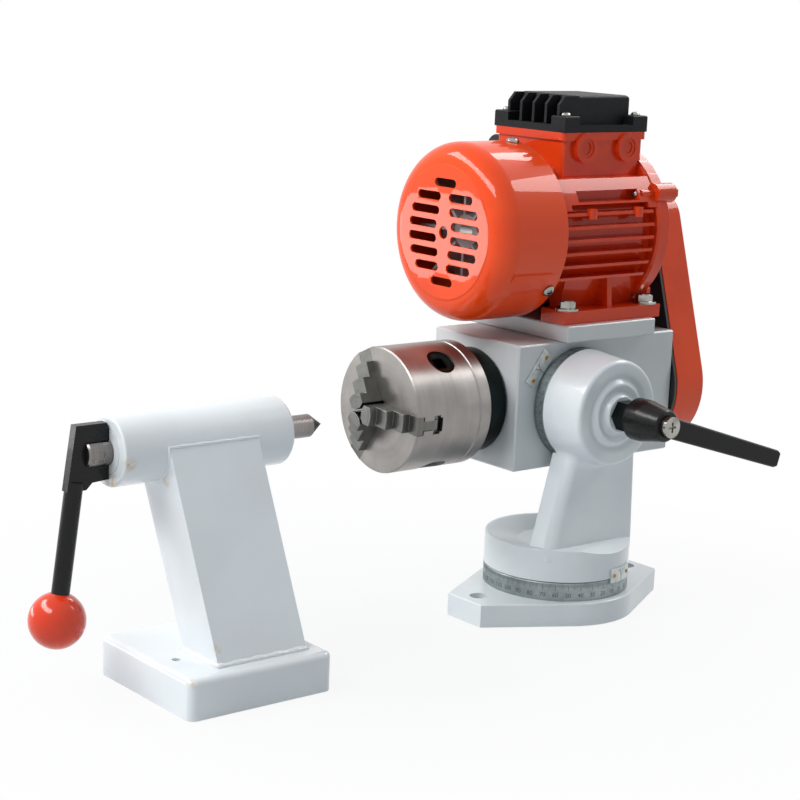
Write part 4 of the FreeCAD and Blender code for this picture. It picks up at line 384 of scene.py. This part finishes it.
EDGES_MM = {
    2.6: "tail_base",
    1.2: "guard_cover",
    0.9: "column_casting tail_post",
    0.8: "spindle_housing clamp_lever",
    0.7: "base_plate",
    0.6: "tail_tube drive_shield tail_lever",
    0.5: "motor_plate terminal_box terminal_lid",
    0.4: "chuck_adapter nose_flange",
    0.35: "motor_frame",
    0.3: "fan_cowl guard_backplate chuck_cover clamp_insert clamp_screw quill lever_pin "
         "shield_bolts entry_plugs cable_gland fan_shield",
    0.25: "chuck_body jaw_1 jaw_2 jaw_3",
    0.2: "base_scale_ring tilt_scale_ring cover_screws motor_foot_bolts tail_center guard_screws "
         "chuck_pinion_1 chuck_pinion_2 chuck_pinion_3 ball_knob cooling_fan",
    0.1: "swivel_index_plate tilt_index_plate",
}
WELD_WITHIN = 0.002 * MM
BEVEL_FROM = math.radians(32)


def soften_edges(obj, width_mm):
    for polygon in obj.data.polygons:
        polygon.use_smooth = True
    weld = obj.modifiers.new("weld", "WELD")
    weld.merge_threshold = WELD_WITHIN
    bevel = obj.modifiers.new("bevel", "BEVEL")
    bevel.width = width_mm * MM
    bevel.segments = 2
    bevel.limit_method = "ANGLE"
    bevel.angle_limit = BEVEL_FROM
    bevel.use_clamp_overlap = True
    normals = obj.modifiers.new("normals", "WEIGHTED_NORMAL")
    normals.weight = 80


for width, names in EDGES_MM.items():
    for name in names.split():
        soften_edges(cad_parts[name], width)

# %% [markdown]
# Both rings are graduated in degrees: a short line for each degree, a longer
# one for every fifth, and a number at every tenth, counted both ways from the
# pointer. A flat drawing is made first, with its length along X and its
# height along Y. Then each point is wrapped onto the ring, so that the marks
# follow the curve. The filling stands 0.03 mm proud, only to show.

# %% Drawing the marks
PROUD = 0.03 * MM
HALF_LINE, HALF_BOLD_LINE = 0.1 * MM, 0.15 * MM
TYPE_PER_DIGIT = 1.4


def piece(form, name, finish, body, smooth=False):
    """A finished piece from a bmesh: it rides on a CAD body."""
    mesh = bpy.data.meshes.new(name)
    form.to_mesh(mesh)
    form.free()
    mesh.materials.append(finish)
    for polygon in mesh.polygons:
        polygon.use_smooth = smooth
    made = bpy.data.objects.new(name, mesh)
    bpy.context.scene.collection.objects.link(made)
    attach(made, body)
    print(name, len(mesh.polygons), "faces")


def flat_box(form, low_x, low_y, high_x, high_y):
    """One rectangle in a bmesh, facing +Z."""
    corners = ((low_x, low_y), (high_x, low_y), (high_x, high_y), (low_x, high_y))
    form.faces.new([form.verts.new((x, y, 0)) for x, y in corners])


def written(form, words, middle_x, low_y, digit_high):
    """A line of type as mesh faces in a bmesh, centred on middle_x."""
    curve = bpy.data.curves.new("type", "FONT")
    curve.body = words
    curve.size = digit_high * TYPE_PER_DIGIT
    curve.align_x = "CENTER"
    curve.resolution_u = 3
    holder = bpy.data.objects.new("type", curve)
    bpy.context.scene.collection.objects.link(holder)
    mesh = bpy.data.meshes.new_from_object(holder.evaluated_get(bpy.context.evaluated_depsgraph_get()))
    mesh.transform(Matrix.Translation((middle_x, low_y, 0)))
    form.from_mesh(mesh)
    bpy.data.objects.remove(holder)
    bpy.data.meshes.remove(mesh)


def scale_drawing(radius, edge, number_low, digit_high, lengths):
    """Marks of a ring in a bmesh: X is the arc, Y is up to the edge that is read."""
    form = bmesh.new()
    for degree in range(-180, 180):
        middle = radius * math.radians(degree)
        length = lengths[0] if degree % 5 else lengths[1] if degree % 10 else lengths[2]
        width = HALF_LINE if degree % 5 else HALF_BOLD_LINE
        flat_box(form, middle - width, edge - length, middle + width, edge)
        if degree % 10 == 0:
            written(form, str(abs(degree)), middle, number_low, digit_high)
    return form


def wrapped(form, name, radius, turn, finish, body):
    """Rolls a flat drawing round Z, turns the cylinder into place and makes the piece."""
    for vert in form.verts:
        angle = vert.co.x / radius
        outward = Vector((math.sin(angle), -math.cos(angle), 0))
        vert.co = outward * (radius + PROUD) + Vector((0, 0, vert.co.y))
    bmesh.ops.transform(form, matrix=turn, verts=form.verts)
    piece(form, name, finish, body)


# %% Swivel ring's scale
RING_RADIUS = 48 * MM
RING_EDGE = 26.3 * MM
SWIVEL_POINTER = math.radians(17)
swivel_turn = Matrix.Rotation(SWIVEL_POINTER, 4, "Z")
swivel_marks = scale_drawing(
    RING_RADIUS, RING_EDGE, number_low=17.6 * MM, digit_high=2.9 * MM,
    lengths=(2.2 * MM, 3.2 * MM, 4.2 * MM))
wrapped(swivel_marks, "swivel_scale_marks", RING_RADIUS, swivel_turn, engraving_ink, "base")

# %% Tilt ring's scale
# The tilt ring lies on its side: its axis runs along Y, and its marks are read at the housing's face.
TILT_RADIUS = 36.5 * MM
TILT_EDGE = -10.2 * MM
TILT_POINTER = math.radians(143.4)
tilt_marks = scale_drawing(
    TILT_RADIUS, TILT_EDGE, number_low=-16.6 * MM, digit_high=2 * MM,
    lengths=(1.6 * MM, 2.4 * MM, 3.1 * MM))
laid_down = Matrix.Rotation(-math.pi / 2, 4, "X")
to_pointer = Matrix.Rotation(math.pi / 2 - TILT_POINTER, 4, "Y")
onto_side = Matrix.Translation((0, 0, AXIS_Z)) @ to_pointer @ laid_down
wrapped(tilt_marks, "tilt_scale_marks", TILT_RADIUS, onto_side, engraving_ink, "column")

# %% [markdown]
# Each index plate is held by two brass drive rivets with a drilled middle and
# carries a forked pointer. Rivets are turned, so each is a profile spun round
# its own axis; the pointer is made of thin bars, filled with grey.

# %% Rivets and pointers
def lathed(outline, steps=20):
    """A profile of (radius, height) spun round Z, in a bmesh of its own."""
    form = bmesh.new()
    points = [form.verts.new((radius, 0, height)) for radius, height in outline]
    edges = [form.edges.new(pair) for pair in zip(points, points[1:])]
    bmesh.ops.spin(form, geom=points + edges, cent=(0, 0, 0), axis=(0, 0, 1), angle=2 * math.pi,
                   steps=steps, use_merge=True)
    bmesh.ops.remove_doubles(form, verts=form.verts, dist=0.001 * MM)
    bmesh.ops.recalc_face_normals(form, faces=form.faces)
    return form


def stand_on(centre, outward):
    """A matrix that carries the origin to a centre and +Z to an outward direction."""
    return Matrix.Translation(centre) @ Vector(outward).to_track_quat("Z", "Y").to_matrix().to_4x4()


def turned_forms(outline, places):
    """The same turned form at each place, joined in one bmesh."""
    whole = bmesh.new()
    for place in places:
        form = lathed(outline)
        form.transform(place)
        spare = bpy.data.meshes.new("spare")
        form.to_mesh(spare)
        form.free()
        whole.from_mesh(spare)
        bpy.data.meshes.remove(spare)
    return whole


# Profiles are (radius, height) over the face that the piece stands on.
RIVET = [(0, -0.1 * MM), (0.5 * MM, -0.1 * MM), (0.62 * MM, 0.42 * MM), (1.0 * MM, 0.5 * MM),
         (1.35 * MM, 0.3 * MM), (1.4 * MM, -0.05 * MM)]
# The second profile is a dark dome set in each rivet's drilled middle: painted shade of the hole.
HOLE_SHADE_DOME = [(0, 0.25 * MM), (0.5 * MM, 0.2 * MM), (0.56 * MM, 0), (0, 0)]


def drive_rivets(plate, places, body):
    """The rivets of a plate, and dark domes in their drilled heads as painted shade of the holes."""
    piece(turned_forms(RIVET, places), f"{plate}_plate_rivets", brass, body, True)
    piece(turned_forms(HOLE_SHADE_DOME, places), f"{plate}_rivet_hole_shade", pointer_ink, body, True)


POINTER_BELOW, POINTER_ABOVE = 4.4 * MM, 2.6 * MM
FORK_AT = 0.52
FORK_REACH = 1.9 * MM
SERIF_FROM, SERIF_TO = 1.2 * MM, 2.6 * MM
STROKE_WIDE, SERIF_WIDE = 0.45 * MM, 0.35 * MM


def stroke(form, start, end, wide):
    """One straight bar of a pointer."""
    run = (Vector(end) - Vector(start)).normalized() * wide / 2
    side = Vector((-run.y, run.x))
    first, last = Vector(start) - run, Vector(end) + run
    corners = (first - side, last - side, last + side, first + side)
    form.faces.new([form.verts.new((v.x, v.y, 0)) for v in corners])


def pointer_drawing(middle):
    """A forked pointer with a short bar at each tip, set round the height of the plate's middle."""
    form = bmesh.new()
    low, high = middle - POINTER_BELOW, middle + POINTER_ABOVE
    fork = low + (high - low) * FORK_AT
    stroke(form, (0, low), (0, fork), STROKE_WIDE)
    for side in (-1, 1):
        stroke(form, (0, fork), (side * FORK_REACH, high), STROKE_WIDE)
        stroke(form, (side * SERIF_FROM, high), (side * SERIF_TO, high), SERIF_WIDE)
    return form


# %% Swivel plate
PLATE_RADIUS = 49.2 * MM
PLATE_MIDDLE = 29.35 * MM
RIVET_ASIDE = 7.9 * MM
wrapped(pointer_drawing(PLATE_MIDDLE), "swivel_pointer", PLATE_RADIUS, swivel_turn, pointer_ink, "column")
rivet_turns = [swivel_turn @ Matrix.Rotation(side * RIVET_ASIDE / PLATE_RADIUS, 4, "Z") for side in (-1, 1)]
plate_face = stand_on((0, -PLATE_RADIUS, PLATE_MIDDLE), (0, -1, 0))
drive_rivets("swivel", [turn @ plate_face for turn in rivet_turns], "column")

# %% Tilt plate
# Away points from the tilt axis to the plate, and along runs along the plate's long side.
TILT_PLATE_REACH = 41.8 * MM
TILT_RIVET_ASIDE = 8.8 * MM
away = Vector((math.cos(TILT_POINTER), 0, math.sin(TILT_POINTER)))
along = Vector((math.sin(TILT_POINTER), 0, -math.cos(TILT_POINTER)))
plate_middle = Vector((0, TILT_EDGE, AXIS_Z)) + away * TILT_PLATE_REACH
onto_plate = Matrix.Translation(plate_middle + Vector((0, -PROUD, 0))) @ Matrix((
    (along.x, away.x, 0, 0), (along.y, away.y, -1, 0), (along.z, away.z, 0, 0), (0, 0, 0, 1)))
tilt_pointer = pointer_drawing(0)
tilt_pointer.transform(onto_plate)
piece(tilt_pointer, "tilt_pointer", pointer_ink, "head")
rivet_spots = [plate_middle + along * side * TILT_RIVET_ASIDE for side in (-1, 1)]
drive_rivets("tilt", [stand_on(spot, (0, -1, 0)) for spot in rivet_spots], "head")

# %% [markdown]
# The frame's shoulder has an open channel with the earth screw at its belt
# end. It is a plain pan-head screw, turned, with its head towards the cowl.

# %% Earth screw
PAN = [(0, 1.5 * MM), (1.2 * MM, 1.45 * MM), (2.1 * MM, 1.1 * MM), (2.5 * MM, 0.5 * MM), (2.5 * MM, 0)]
EARTH_SCREW = (44.95 * MM, -7.4 * MM, 272.3 * MM)
piece(turned_forms(PAN, [stand_on(EARTH_SCREW, (-1, 0, 0))]), "earth_screw", zinc, "head", True)

# %% [markdown]
# The tailstock's post is welded to its base and to its tube. A weld is a
# string of overlapping drops, so the bead is a round curve along the seam
# whose thickness swells and shrinks every few millimetres; the paint joins it
# to the steel. The seam on the tube follows the cut that a leaning post makes
# in a cylinder.

# %% Weld beads
# Two waves of unlike length make the drops uneven. They are counted per point of the seam.
SHORT_WAVE, LONG_WAVE, LONG_START = 1.7, 0.61, 1.3
BEAD_RISE = 0.3


def bead(name, seam, thick, finish, body, swell):
    """A closed weld bead along a list of points."""
    curve = bpy.data.curves.new(name, "CURVE")
    curve.dimensions = "3D"
    curve.bevel_depth = thick
    curve.bevel_resolution = 3
    spline = curve.splines.new("POLY")
    spline.points.add(len(seam) - 1)
    spline.use_cyclic_u = True
    for index, (point, spot) in enumerate(zip(spline.points, seam)):
        wobble = math.sin(index * SHORT_WAVE) * 0.5 + math.sin(index * LONG_WAVE + LONG_START)
        point.co = (*(Vector(spot) + Vector((0, 0, wobble * swell * BEAD_RISE * thick))), 1)
        point.radius = 1 + swell * wobble
    holder = bpy.data.objects.new(name, curve)
    bpy.context.scene.collection.objects.link(holder)
    drawn = bpy.data.meshes.new_from_object(holder.evaluated_get(bpy.context.evaluated_depsgraph_get()))
    form = bmesh.new()
    form.from_mesh(drawn)
    bpy.data.objects.remove(holder)
    bpy.data.meshes.remove(drawn)
    piece(form, name, finish, body, True)


def between(start, end, step=1.3 * MM):
    """Points along a straight seam, the end left out."""
    count = max(1, round((Vector(end) - Vector(start)).length / step))
    return [Vector(start).lerp(Vector(end), i / count) for i in range(count)]


FOOT_LOW = Vector((-299.5, -46, 23.9)) * MM
FOOT_HIGH = Vector((-238.9, -10, 23.9)) * MM
foot_corners = [FOOT_LOW, (FOOT_HIGH.x, FOOT_LOW.y, FOOT_LOW.z),
                FOOT_HIGH, (FOOT_LOW.x, FOOT_HIGH.y, FOOT_LOW.z)]
foot_seam = [spot for i in range(4) for spot in between(foot_corners[i], foot_corners[(i + 1) % 4])]
bead("post_foot_weld", foot_seam, 1.9 * MM, brushed_enamel, "tailstock", 0.12)

# The post's two sides lean 7.3 mm towards -X over 125.4 mm of height.
TUBE_RADIUS = 20.6 * MM
POST_LEAN = 7.3 / 125.4
SADDLE_BACK, SADDLE_FRONT = math.radians(-29), math.radians(98)
SADDLE_STEPS = 34


def saddle(side_x, turn):
    """A point of the cut on the tube's skin, turned from the tube's underside toward the front."""
    high = AXIS_Z - TUBE_RADIUS * math.cos(turn)
    return Vector((side_x - POST_LEAN * (high - FOOT_LOW.z), QUILL_Y - TUBE_RADIUS * math.sin(turn), high))


turns = [SADDLE_BACK + (SADDLE_FRONT - SADDLE_BACK) * i / SADDLE_STEPS for i in range(SADDLE_STEPS + 1)]
left_cut = [saddle(FOOT_LOW.x, turn) for turn in turns]
right_cut = [saddle(FOOT_HIGH.x, turn) for turn in turns]
along_front = between(left_cut[-1], right_cut[-1])[1:]
along_back = between(right_cut[0], left_cut[0])[1:]
tube_seam = left_cut + along_front + right_cut[::-1] + along_back
bead("post_tube_weld", tube_seam, 0.9 * MM, brushed_enamel, "tailstock", 0.15)

# %% [markdown]
# The photograph was taken from the chuck's side, a little above the spindle.
# The camera was solved from points measured on the chuck, motor and base, and
# from its 800 pixels of width. Its place is given as a distance from the
# origin, back along the view, and a shift across and up the picture.

# %% Camera
AZIMUTH, ELEVATION, ROLL = (math.radians(a) for a in (-39.28, 11.58, 2.31))
DISTANCE, ACROSS, UPWARD = 1.32446, -0.10262, 0.13483
FOCAL_PIXELS, PHOTO_PIXELS, SENSOR_MM = 1978.25, 800, 36
back = Vector((math.sin(AZIMUTH) * math.cos(ELEVATION), -math.cos(AZIMUTH) * math.cos(ELEVATION),
               math.sin(ELEVATION)))
level = Vector((math.cos(AZIMUTH), math.sin(AZIMUTH), 0))
upright = back.cross(level)
right = math.cos(ROLL) * level + math.sin(ROLL) * upright
up = math.cos(ROLL) * upright - math.sin(ROLL) * level
camera_data = bpy.data.cameras.new("camera")
camera_data.lens = FOCAL_PIXELS * SENSOR_MM / PHOTO_PIXELS
camera = bpy.data.objects.new("camera", camera_data)
camera.matrix_world = Matrix.Translation(back * DISTANCE + right * ACROSS + up * UPWARD) @ Matrix((
    (right.x, up.x, back.x, 0), (right.y, up.y, back.y, 0), (right.z, up.z, back.z, 0), (0, 0, 0, 1)))
bpy.context.scene.collection.objects.link(camera)
bpy.context.scene.camera = camera

# %% [markdown]
# The stage is a plain pale floor under soft light. Four window panes stand in
# an arc high on the left and three more on the right, and the gloss shows
# them as windows. A low reflector on the left is what the upright left faces
# mirror. The floor and the world look white, to the camera and in metal and
# gloss, but they light the object only at the plain level of a pale room.

# %% Floor and world
FLOOR_HALF = 6
FLOOR_DROP = 0.5 * MM
SHADE_FROM, SHADE_TO, WHITE_UNDER = 0.1, 0.42, 0.88
ROOM_LIGHT = 0.29


def backdrop_seen(tree):
    """1 for rays from the camera and for mirrored and refracted ones, 0 for light on the object."""
    path = add(tree, "ShaderNodeLightPath")
    mirrored = larger(tree, path.outputs["Is Glossy Ray"], path.outputs["Is Transmission Ray"])
    return larger(tree, path.outputs["Is Camera Ray"], mirrored)


floor_mesh = bpy.data.meshes.new("floor")
sweep = bmesh.new()
bmesh.ops.create_grid(sweep, x_segments=1, y_segments=1, size=FLOOR_HALF)
sweep.to_mesh(floor_mesh)
sweep.free()
floor = bpy.data.objects.new("floor", floor_mesh)
floor.location = (0, 0, -FLOOR_DROP)
bpy.context.scene.collection.objects.link(floor)

# The floor's own shade, with the object's shadow in it, shows a little under the object and fades
# to plain white around it.
floor_finish, floor_tree, floor_shader = finish_named("pale_floor", "#c6cacd", 0.7)
floor_place = place_of(floor_tree, centre=(-0.1, 0, 0))
floor_reach = add(floor_tree, "ShaderNodeVectorMath", {"operation": "LENGTH"}, {0: floor_place})
floor_fade = span(floor_tree, floor_reach.outputs["Value"], SHADE_FROM, SHADE_TO, WHITE_UNDER, 1)
floor_seen = add(floor_tree, "ShaderNodeMath", {"operation": "MULTIPLY"},
                 {0: backdrop_seen(floor_tree), 1: floor_fade})
floor_white = add(floor_tree, "ShaderNodeEmission", {"Color": (1, 1, 1, 1), "Strength": 1.0})
floor_mix = add(floor_tree, "ShaderNodeMixShader", links={
    0: floor_seen.outputs[0], 1: floor_shader.outputs[0], 2: floor_white.outputs[0]})
floor_tree.links.new(floor_mix.outputs[0], floor_tree.nodes["Material Output"].inputs[0])
floor_mesh.materials.append(floor_finish)

world = bpy.data.worlds.new("studio")
bpy.context.scene.world = world
world.use_nodes = True
world_tree = world.node_tree
world_tree.nodes.clear()
world_light = add(world_tree, "ShaderNodeBackground", {"Color": paint("#dfe6ec"), "Strength": ROOM_LIGHT})
world_white = add(world_tree, "ShaderNodeBackground", {"Color": (1, 1, 1, 1), "Strength": 1.0})
world_mix = add(world_tree, "ShaderNodeMixShader", links={
    0: backdrop_seen(world_tree), 1: world_light.outputs[0], 2: world_white.outputs[0]})
add(world_tree, "ShaderNodeOutputWorld", links={0: world_mix.outputs[0]})

# %% Lights
# Panes stand two metres from the middle of the object and 40 degrees above it. Powers are in watts.
OBJECT_MIDDLE = Vector((-0.05, 0.03, 0.2))
PANE_RISE = math.radians(40)
PANE_DISTANCE = 2.0
PANE_HIGH = 0.5
LEFT_PANES, LEFT_WIDE, LEFT_POWER = (126, 148, 170, 192), 0.62, 10.5
RIGHT_PANES, RIGHT_WIDE, RIGHT_POWER = (-22, -1, 20), 0.6, 7


def soft_light(name, at, aim, size, size_y, power):
    lamp = bpy.data.lights.new(name, "AREA")
    lamp.shape = "RECTANGLE"
    lamp.size, lamp.size_y, lamp.energy = size, size_y, power
    holder = bpy.data.objects.new(name, lamp)
    holder.location = at
    holder.rotation_mode = "QUATERNION"
    holder.rotation_quaternion = (Vector(aim) - Vector(at)).to_track_quat("-Z", "Y")
    holder.visible_camera = False
    bpy.context.scene.collection.objects.link(holder)


def window_pane(name, bearing, wide, power):
    """One upright pane, seen from the object at a bearing from +X."""
    turn = math.radians(bearing)
    toward = Vector((math.cos(PANE_RISE) * math.cos(turn), math.cos(PANE_RISE) * math.sin(turn),
                     math.sin(PANE_RISE)))
    soft_light(name, OBJECT_MIDDLE + toward * PANE_DISTANCE, OBJECT_MIDDLE, wide, PANE_HIGH, power)


for count, bearing in enumerate(LEFT_PANES):
    window_pane(f"left_pane_{count}", bearing, LEFT_WIDE, LEFT_POWER)
for count, bearing in enumerate(RIGHT_PANES):
    window_pane(f"right_pane_{count}", bearing, RIGHT_WIDE, RIGHT_POWER)
soft_light("low_reflector", (-0.71, 0.88, 0.12), (-0.02, 0.03, 0.32), 0.6, 0.1, 1.1)

bpy.context.scene.view_settings.view_transform = "Standard"
